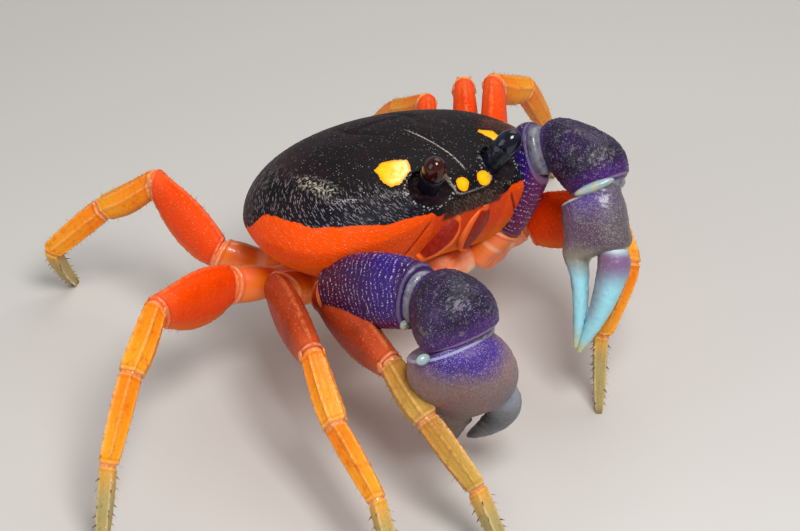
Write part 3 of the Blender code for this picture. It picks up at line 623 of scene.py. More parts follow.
def over_floor(point):
    return (BODY_PLACE + Vector(point)) * MM


def turned_to(x, y, z):
    """The turn that takes the axes to three directions."""
    return Matrix((x, y, z)).transposed().to_4x4()


def open_edges(bm):
    return [e for e in bm.edges if e.is_boundary]


def rolled(grid, surface, marks=()):
    """A closed body from a grid of quads rolled into a tube. surface(share, angle) gives a point and
    the values of the named marks there."""
    rings, sides = grid
    bm = bmesh.new()
    layers = [bm.verts.layers.float.new(name) for name in marks]
    bmesh.ops.create_grid(bm, x_segments=rings, y_segments=sides, size=1.0)
    for vert in bm.verts:
        share = (vert.co.x + 1) / 2
        angle = math.pi * (vert.co.y + 1)
        vert.co, values = surface(share, angle)
        for layer, value in zip(layers, values):
            vert[layer] = value
    bmesh.ops.remove_doubles(bm, verts=bm.verts[:], dist=SEAM_MERGE)
    ends = open_edges(bm)
    if ends:
        bmesh.ops.edgeloop_fill(bm, edges=ends)
    bmesh.ops.recalc_face_normals(bm, faces=bm.faces[:])
    return bm


def mesh_from(name, bm):
    mesh = bpy.data.meshes.new(name)
    bm.to_mesh(mesh)
    bm.free()
    return mesh


def linked(name, data):
    obj = bpy.data.objects.new(name, data)
    bpy.context.scene.collection.objects.link(obj)
    return obj


def piece(name, bm, finish, slot, *nodes):
    """Closes a bmesh into a named piece that rides on the crab and stands for the solids it replaces."""
    bmesh.ops.triangulate(bm, faces=[f for f in bm.faces if len(f.verts) > 4])
    mesh = mesh_from(name, bm)
    mesh.shade_smooth()
    mesh.set_sharp_from_angle(angle=SHARP_FROM)
    mesh.materials.append(finish)
    obj = linked(name, mesh)
    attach(obj, "root")
    if nodes:
        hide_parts(*nodes)


def joined(meshes):
    """Several bmeshes in one."""
    whole = bmesh.new()
    for bm in meshes:
        mesh = mesh_from("part", bm)
        whole.from_mesh(mesh)
        bpy.data.meshes.remove(mesh)
    return whole


class Segment:
    """A smooth oval tube between two joints, which runs a little past both in a dome."""

    def __init__(self, start, end, flat, shape, scale=1.0, bow=0.0, dome=0.6, tip=False):
        self.start = start
        self.along = (end - start).normalized()
        self.up = self.along.cross(flat).normalized()
        self.flat = self.up.cross(self.along).normalized()
        self.length = (end - start).length
        self.rows = shape
        self.scale = scale * MM
        self.bow = bow * MM
        domes = [DOME_STRETCH * dome * self.scale * (row[1] + row[2]) / 2 for row in (shape[0], shape[-1])]
        self.low = domes[0]
        self.high = 0.0 if tip else domes[1]
        self.whole = self.length + self.low + self.high

    def axis_point(self, reach):
        share = limited(reach / self.length)
        return self.start + self.along * reach + self.up * (self.bow * 4 * share * (1 - share))

    def share(self, reach):
        """The share of the whole tube at a share of the length between its joints."""
        return (self.low + reach * self.length) / self.whole

    def at(self, share, angle):
        """The point at a share of the whole tube and an angle about it, the way out from there, how far
        the domes narrow the tube, and the share of the length between its joints."""
        reach = -self.low + share * self.whole
        row = between(self.rows, limited(reach / self.length))
        half_up, half_down, half_flat = (value * self.scale for value in row)
        beyond, limit = (-reach, self.low) if reach < 0 else (reach - self.length, self.high)
        shrink = domed(beyond / limit) if beyond > 0 and limit > 0 else 1.0
        across, rise = oval(angle, LIMB_FULLNESS)
        half = half_up if rise > 0 else half_down
        point = self.axis_point(reach)
        point += (self.flat * (half_flat * across) + self.up * (half * rise)) * shrink
        out = (self.flat * (across / half_flat) + self.up * (rise / half)).normalized()
        return point, out, shrink, reach / self.length


def joint_planes(points):
    """The plane at each inner joint of a chain, halfway between the two segments' directions."""
    planes = {}
    for i in range(1, len(points) - 1):
        before = (points[i] - points[i - 1]).normalized()
        after = (points[i + 1] - points[i]).normalized()
        planes[i] = (points[i], (before + after).normalized())
    return planes


def joint_cuts(planes, index, gap):
    """The planes, facing outward, that part a segment from its neighbours by half of the gap."""
    cuts = []
    for joint, sign in ((index, 1), (index + 1, -1)):
        if joint in planes:
            point, normal = planes[joint]
            cuts.append((point + normal * (sign * gap / 2), -normal * sign))
    return cuts


def cut(bm, point, normal, clear=True):
    geometry = bm.verts[:] + bm.edges[:] + bm.faces[:]
    bmesh.ops.bisect_plane(bm, geom=geometry, plane_co=point, plane_no=normal, dist=CUT_MERGE,
                           clear_outer=clear)


def close_at(bm, point, normal, segment, lip):
    """Cuts a segment off at its joint, with a thickened edge that rounds in towards the joint's skin.
    Returns the outline of the cut."""
    for depth in LIP_LOOPS:
        cut(bm, point - normal * (depth * lip), normal, clear=False)
    cut(bm, point, normal)
    bmesh.ops.remove_doubles(bm, verts=[v for v in bm.verts if v.is_boundary], dist=RIM_MERGE)
    cap = bmesh.ops.edgeloop_fill(bm, edges=open_edges(bm))["faces"]
    if not cap:
        raise RuntimeError("the cut at a joint leaves no closed outline")
    outline = [v.co.copy() for v in max(cap, key=lambda face: face.calc_area()).verts]
    for vert in bm.verts:
        depth = (point - vert.co).dot(normal)
        if depth < LIP_REACH * lip:
            reach = (vert.co - segment.start).dot(segment.along)
            inward = segment.axis_point(reach) - vert.co
            if inward.length > NEAR_AXIS:
                shift = -LIP_SWELL * bell(depth - 1.3 * lip, 0.5 * lip)
                if depth < lip:
                    shift += lip - math.sqrt(max(0.0, lip**2 - (lip - depth) ** 2))
                vert.co += inward.normalized() * shift
    return outline


def close_joints(bm, cuts, segment, lip, skin_gap=None):
    """Closes a segment at its joints and marks each point with its distance from the nearest one, in
    millimetres. Returns the skin of its far joint in a list, which is empty if no skin is wanted."""
    for point, normal in cuts:
        outline = close_at(bm, point, normal, segment, lip)
    layer = bm.verts.layers.float.new("rim")
    for vert in bm.verts:
        vert[layer] = min(abs((vert.co - place).dot(way)) / MM for place, way in cuts)
    return [joint_skin(outline, normal, skin_gap)] if skin_gap else []


def joint_skin(outline, normal, gap):
    """The skin in a joint: a short plug across the slit, a little narrower than the shells."""
    middle = sum(outline, Vector()) / len(outline)
    bm = bmesh.new()

    def place(verts, row):
        depth, width = row
        for vert, corner in zip(verts, outline):
            vert.co = middle + (corner - middle) * width + normal * (depth * gap)

    current = bmesh.ops.create_circle(bm, segments=len(outline), radius=1.0)["verts"]
    place(current, SKIN_ROWS[0])
    bm.faces.new(current)
    edges = list(bm.edges)
    for row in SKIN_ROWS[1:]:
        out = bmesh.ops.extrude_edge_only(bm, edges=edges)["geom"]
        at_place = {tuple(v.co): v for v in out if isinstance(v, bmesh.types.BMVert)}
        current = [at_place[tuple(v.co)] for v in current]
        edges = [e for e in out if isinstance(e, bmesh.types.BMEdge) and e.is_boundary]
        place(current, row)
    bm.faces.new(current)
    bmesh.ops.recalc_face_normals(bm, faces=bm.faces[:])
    return bm


class Bristles:
    """Many small cones in one mesh, each with its own patch on the OFBake map."""

    PATCH = 0.003
    TIP_WIDTH = 0.04

    def __init__(self, seed):
        self.bm = bmesh.new()
        self.map = self.bm.loops.layers.uv.new("OFBake")
        self.dice = random.Random(seed)

    def add(self, root, direction, length, width, on_map, sides=4, sink=0.15):
        """One cone whose root is sunk in the shell."""
        start = root - direction * (length * sink)
        whole = length * (1 + sink)
        turn = direction.to_track_quat("Z", "Y").to_matrix().to_4x4()
        made = bmesh.ops.create_cone(
            self.bm, cap_ends=True, cap_tris=False, segments=sides, radius1=width / 2,
            radius2=width * self.TIP_WIDTH, depth=whole,
            matrix=Matrix.Translation(start + direction * (whole / 2)) @ turn)
        for face in {f for v in made["verts"] for f in v.link_faces}:
            for loop in face.loops:
                offset = (loop.vert.co - start).length / whole
                loop[self.map].uv = (on_map[0] + self.PATCH * offset, on_map[1] + self.PATCH * (1 - offset))


# Carapace


def shell_point(direction):
    """A point of the plain carapace, in millimetres of the level body frame."""
    flat = math.hypot(direction.x, direction.y)
    cross, fore = (direction.x / flat, direction.y / flat) if flat > 1e-9 else (1.0, 0.0)
    ahead = max(0.0, -fore)
    behind = max(0.0, fore)
    reach, roundness = SHELL_FRONT if fore < 0 else SHELL_REAR
    radius = (abs(cross) / SHELL_HALF_WIDTH) ** roundness + (abs(fore) / reach) ** roundness
    radius **= -1 / roundness
    rim_z = SHELL_SIDE_RIM_Z + (SHELL_FRONT_RIM_Z - SHELL_SIDE_RIM_Z) * ahead**3 - behind**2
    if direction.z >= 0:
        out = flat ** (2 / SHELL_TOP_FULLNESS[0])
        z = rim_z + (SHELL_TOP_Z - rim_z) * direction.z ** (2 / SHELL_TOP_FULLNESS[1])
    else:
        out = flat ** (2 / SHELL_LOW_FULLNESS[0])
        sink = (-direction.z) ** (2 / SHELL_LOW_FULLNESS[1])
        z = rim_z - (rim_z - SHELL_BOTTOM_Z) * sink
        out *= 1 - (SHELL_SIDE_TUCK + (SHELL_FRONT_TUCK - SHELL_SIDE_TUCK) * ahead**2) * sink**1.15
    return Vector((cross * radius * out, SHELL_WIDEST_Y + fore * radius * out, z))


def plate_edge(point):
    """1 on the raised margin of the plate between the eyes, which is open at its top, and 0 off it."""
    if point.y > PLATE_BACK_Y or point.z > PLATE_TOP_Z + 0.2:
        return 0.0
    across = abs(point.x) / PLATE_HALF_WIDTH
    down = max(0.0, PLATE_TOP_Z - point.z) / PLATE_DEPTH
    return bell(((across**6 + down**6) ** (1 / 6) - 1) * 3.8, 0.26)


def shell_relief(point):
    """How far a point of the carapace rises, and how far an eye socket sinks it, in millimetres."""
    x, y, z = abs(point.x), point.y, point.z
    rise = 0.05 * noise.noise(point * 2.4) + 0.30 * plate_edge(point)
    if z > 9:
        # The grooves that part the back into its fields, and its full sides.
        rise -= 0.30 * bell(x - 5.2 - 0.9 * math.sin(y * 0.45), 0.75) * bell(y - 2.5, 5.5)
        rise -= 0.28 * bell(y - 3.2 + 0.05 * x * x, 0.7) * bell(x, 5.0)
        rise -= 0.22 * bell(x, 0.42) * bell(y + 11.0, 5.0)
        rise += 0.35 * bell(x - 15.0, 6.0) * bell(y + 3.0, 7.0)
    # The granular line that leads back from the eye socket, and the keel low on the side.
    line = bell(z - LINE_Z + LINE_SLOPE * (x - LINE_SIDE), 0.35)
    rise += 0.16 * line * limited((-7.0 - y) / 4) * limited((x - 10.5) / 2)
    rise += 0.25 * bell(z + 3.6, 0.5) * (1 if x > 12 else 0)
    # The seam that runs down from the corner of the mouth.
    seam = bell(x - SEAM_SIDE - (SEAM_Z - z) * SEAM_SLOPE, 0.28)
    rise -= 0.30 * seam * limited((-11.0 - y) / 3) * limited((7.2 - z) / 1.5)
    # The eye socket, with its uneven rim.
    away = Vector((x, y, z)) - ORBIT
    away.z *= ORBIT_HEIGHT_RATIO
    rise += 0.30 * bell(away.length - ORBIT_RADIUS - 0.1, 0.38) * (0.75 + 0.5 * noise.noise(point * 3.5))
    share = min(1.0, away.length / ORBIT_RADIUS)
    return rise, (ORBIT_DEPTH + 0.7) * (1 - share * share) ** 1.3


def make_carapace(sizes, colours):
    bm = bmesh.new()
    bmesh.ops.create_cube(bm, size=2.0)
    bmesh.ops.subdivide_edges(bm, edges=bm.edges[:], cuts=sizes.shell_cuts, use_grid_fill=True)
    for vert in bm.verts:
        # Tangent spacing keeps the faces of the rounded cube alike.
        direction = Vector([math.tan(c * math.pi / 4) for c in vert.co]).normalized()
        point = shell_point(direction)
        rise, hollow = shell_relief(point)
        out = Vector((point.x / 2, point.y, (point.z - SHELL_MIDDLE_Z) * 1.6)).normalized()
        point += out * rise
        point.y += hollow
        vert.co = BODY @ (point * MM)
    piece("carapace_shell", bm, carapace_finish(colours), "black_shell", "carapace")


class ShellMap:
    """Where each point of the carapace lies in the level body frame, in millimetres, the noises that its
    patterns share, and the marks of wear that also show in its relief."""

    def __init__(self, finish):
        location, rotation, _ = BODY.decompose()
        self.level = finish.node("ShaderNodeMapping", {"vector_type": "TEXTURE"},
                                 {"Vector": finish.place, "Location": tuple(location),
                                  "Rotation": tuple(rotation.to_euler("XYZ")), "Scale": (MM, MM, MM)})
        self.x = finish.node("ShaderNodeSeparateXYZ", {}, {0: self.level})
        self.y, self.z = self.x.output(1), self.x.output(2)
        self.side = abs(self.x)
        self.broad = finish.clouds(6)
        self.fine = finish.clouds(1.1)
        self.dust = finish.clouds(0.22, 2.0)
        self.wobble = self.fine - 0.5
        centre = (ORBIT.x, ORBIT.y, ORBIT.z * ORBIT_HEIGHT_RATIO)
        self.orbit = finish.distance(finish.vector(self.side, self.y, self.z * ORBIT_HEIGHT_RATIO), centre)
        rim = abs(self.orbit - ORBIT_RADIUS - 0.2).step(0.55, 0.2) * self.z.step(14.2, 12.8)
        self.beads = rim * finish.grains(0.5).step(0.42, 0.2)
        self.add_wear(finish)

    def add_wear(self, finish):
        """Short pale strokes that run forward and down over the lower black of each side, and a scuffed
        patch above them."""
        around = self.side.maths("ARCTAN2", self.side, SHELL_WIDEST_Y - self.y) * STROKE_ROUND
        run = around * STROKE_LEAN[0] + self.z * STROKE_LEAN[1]
        drop = self.z * STROKE_LEAN[0] - around * STROKE_LEAN[1]
        lanes = finish.vector(run, drop * STROKES_DEEP, 0.0)
        self.dash = finish.node("ShaderNodeTexVoronoi", {}, {"Vector": lanes, "Scale": 1.0})
        lower_black = self.z.step(13.6, 11.4) * self.side.step(8.0, 15.0)
        self.scratch = self.dash.step(0.44, 0.20) * lower_black * finish.clouds(2.4, 2.0).step(0.15, 0.40)
        patch = ((self.side - 19.6) / 2.4) ** 2 + ((self.y + 5.4) / 6.0) ** 2 + ((self.z - 12.1) / 1.6) ** 2
        self.patch = patch.step(1.0, 0.1)
        self.scuffs = self.patch * finish.clouds(0.55, roughness=0.7).step(0.50, 0.62)


def black_layers(finish, at, colours):
    """The black top with its plum cast, a bluer black on the lower sides, scratches, scuffs and dust."""
    cast = at.broad.step(0.40, 0.70) * at.y.step(-16.0, 10.0)
    low_side = at.z.step(12.0, 9.5) * at.side.step(8.0, 12.0) * at.y.step(-4.0, -12.0)
    height = abs(at.z - LINE_Z + (at.side - LINE_SIDE) * LINE_SLOPE + at.wobble * 0.5)
    line = height.step(0.42, 0.15) * at.y.step(-8.0, -10.0) * at.side.step(10.0, 11.0)
    line = line * at.dust.step(0.50, 0.62) * at.fine.step(0.35, 0.6)
    specks = finish.grains(0.50).step(0.22, 0.10) * at.fine.step(0.40, 0.60)
    return ((cast * 0.8, colours.plum), (low_side * 0.5, Tint.blue_black),
            (at.scratch * (0.18 + 0.5 * at.fine), Tint.scratch), (at.scuffs * 0.85, Tint.scuff),
            (line * 0.75, Tint.granular_line), (specks * 0.75, Tint.dust))


def plate_layers(at):
    """The dotted groove down the middle of the face and the pale margin of the plate between the eyes."""
    groove = at.side.step(0.22, 0.09) * at.y.step(-3.0, -5.0) * at.dust.step(0.40, 0.55)
    across = (at.side / PLATE_HALF_WIDTH) ** 6
    down = ((PLATE_TOP_Z - at.z).most(0.0) / PLATE_DEPTH) ** 6
    margin = abs((across + down) ** (1 / 6) - 1).step(0.055, 0.02) * at.y.step(PLATE_BACK_Y, -14.5)
    margin = margin * at.z.step(13.6, 13.0) * at.dust.step(0.36, 0.5)
    return ((groove * at.z.step(12.3, 13.2) * 0.75, Tint.groove_dots), (margin * 0.5, Tint.plate_margin))


def socket_layers(finish, at):
    """The rim of pale granules round each eye socket, and its brown inside."""
    inside = finish.blend(at.fine.step(0.45, 0.7) * 0.7, Tint.socket_dark, Tint.socket_brown)
    return (at.beads * 0.7, Tint.socket_rim), (at.orbit.step(3.6, 2.6) * 0.85, inside)


# Corners of the large spot behind each eye, from the front inner one round: how far out and how far back.
SPOT_CORNERS = ((6.3, -11.8), (7.8, -14.4), (10.7, -15.2), (12.4, -14.8), (13.2, -13.6), (12.6, -10.5),
                (10.3, -9.7), (8.2, -10.6))
SMALL_SPOTS = (((-1.8, -18.9, 11.0), 1.15), ((2.45, -19.0, 10.85), 1.25))


def outside_of(corners, across, back):
    """How far a point lies outside a polygon whose corners run round it, in the shader."""
    farthest = None
    for (x0, y0), (x1, y1) in zip(corners, corners[1:] + corners[:1]):
        length = math.hypot(x1 - x0, y1 - y0)
        normal_x, normal_y = (y0 - y1) / length, (x1 - x0) / length
        reach = x0 * normal_x + y0 * normal_y - across * normal_x - back * normal_y
        farthest = reach if farthest is None else farthest.most(reach)
    return farthest


def spot_layers(finish, at, colours):
    """The yellow spots, a large one behind each eye and two small ones on the plate, and the red brown
    patch above the left eye. The left large spot shows only its outer part."""
    left_limit = 9.9 - at.side - (at.y + 12.5) * 0.35 - at.x.step(1.0, 0.0) * 30.0
    large = outside_of(SPOT_CORNERS, at.side, at.y).most(left_limit)
    large = large + at.wobble * 0.9 + 0.18 + at.orbit.step(3.95, 3.6) * 9.0
    inner = (at.side * -0.6 - at.y * 0.8 - 2.4).step(0.2, 3.6) * at.fine.step(0.3, 0.6)
    spot = finish.paint(colours.spot, (inner, colours.spot_middle),
                        (large.step(-0.75, -0.1) * 0.8, Tint.spot_edge))
    layers = [((large + 0.12).step(0.10, -0.02) * at.z.step(11.3, 11.8), spot)]
    for centre, radius in SMALL_SPOTS:
        small = finish.distance(at.level, centre) / radius + at.wobble * 0.35
        yellow = finish.blend(small.step(0.4, 0.95), colours.spot, Tint.small_spot_edge)
        layers.append((small.step(1.03, 0.93), yellow))
    band = ((at.x - 16.5) / 6.0) ** 2 + ((at.y + 8.8) / 3.0) ** 2 + at.wobble * 2.0
    layers.append((band.step(1.0, 0.10) * (0.12 + at.broad.step(0.3, 0.6) * 0.38), Tint.brown_band))
    return layers


def flank_colour(finish, at, colours):
    """Orange that pales to its lower edge, with dots, strokes and the seam by the mouth."""
    dots = finish.grains(0.42).step(0.22, 0.12) * at.fine.step(0.4, 0.6)
    strokes = at.scratch.most(at.dash.step(0.2, 0.1) * at.z.step(3.5, 5.0))
    cheek = at.side.step(8.2, 7.4) * at.y.step(-12.0, -14.0)
    seam = abs(at.side - SEAM_SIDE - (SEAM_Z - at.z) * SEAM_SLOPE).step(0.34, 0.12)
    seam = seam * at.y.step(-11.0, -14.0) * at.z.step(7.2, 6.0)
    return finish.paint(
        colours.flank, (at.z.step(3.0, -2.4), colours.flank_edge),
        (at.broad.step(0.55, 0.85) * 0.35, Tint.flank_red), (dots * 0.6, Tint.flank_dots),
        (strokes * 0.12, Tint.flank_strokes), (cheek * 0.45, Tint.cheek), (seam * 0.85, Tint.seam))


def carapace_finish(colours):
    finish = Finish("carapace", specular=0.08)
    at = ShellMap(finish)
    # The black ends at a gently wavy line that drops towards the rear.
    wave = finish.clouds(5.5, 1.0) * 1.1 - 0.55 + at.wobble * 0.7
    edge_z = 8.0 - 0.8 * at.side.step(8.5, 6.8) - 3.3 * at.y.step(-0.5, 5.0) - 5.6 * at.y.step(4.0, 15.0)
    is_flank = (at.z - edge_z - wave).step(0.10, -0.10)
    # A dark bristly field lies over the mouth.
    field = (at.side + at.wobble * 2.0).step(6.6, 5.6) * (at.z + at.wobble).step(5.6, 6.4)
    field = field * at.z.step(9.8, 9.0) * at.y.step(-14.0, -15.5)
    bristly = finish.blend(at.dust.step(0.50, 0.68), Tint.field_dark, Tint.field_brown)
    colour = finish.paint(
        colours.black, *black_layers(finish, at, colours), *plate_layers(at), *socket_layers(finish, at),
        *spot_layers(finish, at, colours), (is_flank, flank_colour(finish, at, colours)),
        (field * 0.95, bristly))
    relief = finish.grains(0.36).step(0.65, 0.05) * 0.55 + at.fine * 0.8 + at.scratch * 0.9 + at.scuffs
    roughness = 0.36 + 0.18 * at.fine - 0.06 * is_flank + at.patch * 0.2
    return finish.done(colour, roughness, relief + at.beads * 1.5, 0.06)


# Under side


def make_underside(colours):
    finish = underside_finish(colours)

    def breast(share, angle):
        height, radial = oval(math.pi * share, THORAX_DEPTH_FULLNESS)
        across, length = oval(angle, THORAX_FULLNESS)
        across *= radial * THORAX_HALF_WIDTH
        length *= radial * THORAX_HALF_LENGTH
        top = SHELL_BOTTOM_Z + 1.2
        z = (top + THORAX_BOTTOM_Z) / 2 + height * (top - THORAX_BOTTOM_Z) / 2
        place = THORAX_MIDDLE_Y + length - 0.05 * abs(across)
        groove = sum(bell(place - suture, 0.32) for suture in THORAX_SUTURES)
        groove *= limited((abs(across) - 3.0) / 2)
        z += 0.5 * groove if height < 0 else 0.0
        shrink = 1 - 0.14 * limited(-height) ** 2
        return from_body(across * shrink, THORAX_MIDDLE_Y + length * shrink, z), (groove,)

    piece("breast_plate", rolled(GRIDS["breast"], breast, ("groove",)), finish, "pale_shell", "thorax")

    def tail(share, angle):
        y = PLEON_FRONT_Y - PLEON_LENGTH * share
        drop = THORAX_BOTTOM_Z + 0.4 + 2.6 * (1 - share) ** 4
        groove = sum(bell(share - joint, 0.011) for joint in PLEON_JOINTS)
        scale = limited(min(share, 1 - share) / 0.02) ** 0.5 * (1 - 0.16 * groove)
        across, rise = oval(angle, PLEON_FULLNESS)
        across *= PLEON_HALF_WIDTH * between(PLEON_WIDTHS, share)[0]
        rise *= PLEON_THICKNESS if rise > 0 else PLEON_THICKNESS * 0.6
        return from_body(across * scale, y, drop - PLEON_THICKNESS / 2 + rise * scale), (groove,)

    piece("folded_tail", rolled(GRIDS["tail"], tail, ("groove",)), finish, "pale_shell", "pleon")


def underside_finish(colours):
    finish = Finish("underside", coat=0.35, coat_roughness=0.18, subsurface=0.04)
    broad = finish.clouds(4)
    colour = finish.paint(
        colours.coral, (broad.step(0.35, 0.7), colours.pale),
        (finish.mark("groove").step(0.1, 0.8) * 0.7, Tint.suture),
        (finish.grains(0.5).step(0.16, 0.08) * 0.4, Tint.under_specks))
    return finish.done(colour, 0.32 + 0.2 * broad, finish.clouds(0.5), 0.05)


# Eyes


def make_eyes(colours):
    corneas = {"l": cornea_finish("cornea_left", colours.cornea_dark, Tint.left_eye_gleam),
               "r": cornea_finish("cornea_right", colours.cornea, Tint.right_eye_gleam)}
    stalk = stalk_finish()
    for tag, (low, high) in EYES.items():
        root, middle = from_body(*low), from_body(*high)
        lean = (middle - root).normalized()
        flat = lean.cross(Vector((0, 1, 0))).normalized()
        tube = Segment(root, middle - lean * STALK_IN_EYE * MM, flat, STALK_SHAPE, dome=0.8)

        def skin(share, angle, tube=tube):
            point, out, shrink, reach = tube.at(share, angle)
            ripple = noise.noise(point / MM * 1.6) * 0.10 * MM
            return point + out * ripple * shrink, (reach,)

        piece(f"eyestalk_{tag}_skin", rolled(GRIDS["stalk"], skin, ("along",)), stalk, "black_shell",
              f"eyestalk_{tag}")
        bm = bmesh.new()
        bmesh.ops.create_uvsphere(bm, u_segments=56, v_segments=40, radius=1.0)
        turn = lean.to_track_quat("Z", "Y").to_matrix().to_4x4()
        size = Matrix.Diagonal((*(r * MM for r in EYE_RADII), 1.0))
        for vert in bm.verts:
            # The cornea is long and narrows a little to where the stalk holds it.
            narrowing = 0.06 * limited(-vert.co.z)
            vert.co.x *= 0.95 - narrowing
            vert.co.y *= 0.98 - narrowing
            vert.co.z = vert.co.z * 1.12 - 0.12
        bmesh.ops.transform(bm, matrix=Matrix.Translation(middle) @ turn @ size, verts=bm.verts[:])
        piece(f"cornea_{tag}", bm, corneas[tag], "eye_dark", f"eye_{tag}")


def cornea_finish(name, base, lighter):
    finish = Finish(name, coat=0.35, coat_roughness=0.03, specular=0.3)
    colour = finish.blend(finish.clouds(1.4, 2.0).step(0.4, 0.75), base, lighter)
    facets = finish.grains(0.06, randomness=0.2)
    return finish.done(colour, 0.12, facets, 0.002, 0.3)


def stalk_finish():
    finish = Finish("eyestalk", coat=0.25, coat_roughness=0.12, specular=0.3)
    mottled = finish.clouds(0.9)
    colour = finish.paint(Tint.stalk_black, (mottled.step(0.4, 0.75), Tint.stalk_blue),
                          (finish.mark("along").step(0.3, -0.1) * 0.6, Tint.stalk_root))
    return finish.done(colour, 0.26 + 0.2 * mottled, mottled, 0.06)


# Mouth


def make_mouth(sizes, colours):
    finish = mouth_finish(colours)
    upright = BODY.to_3x3()
    for tag, (low, high, facing) in MOUTH_PLATES.items():
        low, high = from_body(*low), from_body(*high)
        leaf = Segment(low, high, (high - low).cross(upright @ Vector(facing)).normalized(), MOUTH_SHAPE)

        def surface(share, angle, leaf=leaf):
            point, out, shrink, reach = leaf.at(share, angle)
            sides = bell(math.cos(angle) ** 2 - 1, 0.30)
            edge = max(sides, bell(reach - 1.10, 0.12), bell(reach + 0.10, 0.12))
            dish = (0.26 * edge - 0.20) * MM * shrink
            return point + out * dish, (edge, reach)

        piece(f"mouth_plate_{tag}", rolled(GRIDS["mouth"], surface, ("edge", "along")), finish, "red_shell",
              f"maxilliped_{tag}")
    hairs = Bristles(31)
    for _ in range(MOUTH_HAIRS):
        x = hairs.dice.uniform(-4.6, 4.6)
        z = hairs.dice.uniform(6.2, 9.0)
        direction = Vector((x * 0.03, -1.0, -0.25 - hairs.dice.random() * 0.9)).normalized()
        hairs.add(BODY @ (face_point(x, z) * MM), (upright @ direction).normalized(),
                  hairs.dice.uniform(0.4, 0.9) * MM, sizes.bristle_width, (0.5 + x / 60, 0.5 + z / 60))
    piece("mouth_hairs", hairs.bm, hair_finish(colours), "straw_shell")


def face_point(x, z):
    """A point of the carapace's front at that place across and that height, in millimetres."""
    low, high = -1.0, 1.0
    for _ in range(24):
        middle = (low + high) / 2
        point = shell_point(Vector((x / 17.5, -1.0, middle)).normalized())
        if point.z < z:
            low = middle
        else:
            high = middle
    return point


def mouth_finish(colours):
    finish = Finish("mouth_plate", coat=0.08, coat_roughness=0.2, specular=0.2)
    fine = finish.clouds(0.7)
    edge = finish.mark("edge")
    colour = finish.paint(
        colours.mouth, (fine.step(0.4, 0.7) * 0.5, Tint.mouth_mottle),
        (edge.step(0.10, 0.45), Tint.mouth_edge), (edge.step(0.80, 1.0) * 0.5, Tint.mouth_rim))
    return finish.done(colour, 0.34 + 0.15 * fine, finish.grains(0.3).step(0.5, 0.05) + fine, 0.04)


def hair_finish(colours):
    finish = Finish("hair")
    patches = finish.clouds(0.8, 2.0)
    colour = finish.blend(patches.step(0.35, 0.65), colours.hair, Tint.pale_hair)
    return finish.done(colour, 0.45 + 0.2 * patches)


# Walking legs


def bearing(side, back, rise):
    """The unit direction that points back from straight out by one angle and rises by the other."""
    back, rise = math.radians(back), math.radians(rise)
    return Vector((side * math.cos(back) * math.cos(rise), math.sin(back) * math.cos(rise), math.sin(rise)))


def level_across(start, end):
    """The level direction across a stretch of leg. The up side of a tube built on it faces the floor, so
    the leg's own angles are counted the other way round."""
    run = end - start
    return Vector((run.y, -run.x, 0)).normalized()


def leg_points(tag):
    """The joints of a walking leg in metres, from its coxa to its tip on the floor."""
    side, pair = (1 if tag[0] == "l" else -1), int(tag[1])
    x, y, z = HIP_END[tag]
    points = [from_body(side * (THORAX_HALF_WIDTH - COXA_INSET), COXA_Y[pair], THORAX_BOTTOM_Z + COXA_RISE),
              from_body(side * x, y, z)]
    for (back, rise), length in zip(POSES[tag][:3], LENGTHS[pair]):
        points.append(points[-1] + bearing(side, back, rise) * length * MM)
    length = LENGTHS[pair][3] * MM
    fall = math.degrees(math.asin(min(STEEPEST_FALL, points[-1].z / length)))
    points.append(points[-1] + bearing(side, POSES[tag][3], -fall) * length)
    return points


# Keels along each kind of segment: angle about it in degrees, height in millimetres, width in degrees.
KEELS = {
    "hip": (),
    "merus": ((90, 0.50, 10), (-72, 0.30, 9), (-108, 0.30, 9)),
    "carpus": ((60, 0.46, 9), (120, 0.46, 9), (8, 0.32, 8), (172, 0.32, 8), (-90, 0.25, 14)),
    "propodus": ((64, 0.42, 9), (116, 0.42, 9), (3, 0.32, 9), (177, 0.32, 9), (-66, 0.3, 9), (-114, 0.3, 9)),
    "dactylus": ((45, 0.26, 12), (135, 0.26, 12), (-45, 0.26, 12), (-135, 0.26, 12)),
}
# Height of the grain on each kind of segment, in millimetres.
GRAIN_HEIGHTS = {"hip": 0.03, "merus": 0.07, "carpus": 0.06, "propodus": 0.06, "dactylus": 0.05}


def keel_at(kind, angle):
    """Height of the keels at an angle, in millimetres."""
    degrees = math.degrees(angle)
    total = 0.0
    for place, height, width in KEELS[kind]:
        away = abs((degrees - place + 180) % 360 - 180)
        total += height * bell(away, width)
    return total


def leg_segment(index, points, scale):
    """The smooth tube of one segment of a walking leg."""
    kind = SEGMENTS[index]
    start, end = points[index], points[index + 1]
    is_tip = kind == "dactylus"
    if is_tip:
        end = end + (end - start).normalized() * TIP_PAST_FLOOR * MM
    between_joints = kind in ("merus", "carpus", "propodus")
    flat = level_across(points[1], points[4]) if between_joints else level_across(start, end)
    return Segment(start, end, flat, SHAPES[kind], scale, BOWS.get(kind, 0.0), tip=is_tip)


def leg_skin(kind, tube):
    """The surface of a segment with its keels and grain, for rolled. It is sunk by a part of the keels'
    height, which keeps the segment as thick as its solid."""
    grain = GRAIN_HEIGHTS[kind]
    sunk = KEELS_SUNK * max((height for _, height, _ in KEELS[kind]), default=0.0)

    def surface(share, angle):
        point, out, shrink, reach = tube.at(share, angle)
        fade = limited(min(reach + 0.06, 1.06 - reach) / 0.16)
        keel = keel_at(kind, -angle) * fade * shrink
        rough = grain * (noise.noise(point / MM * 3.1) + 0.5 * noise.noise(point / MM * 7.0))
        bump = keel * (1 + 0.35 * noise.noise(point / MM * 4.3)) + rough - sunk
        return point + out * (bump * MM * shrink), (reach, -math.sin(angle), keel)

    return surface


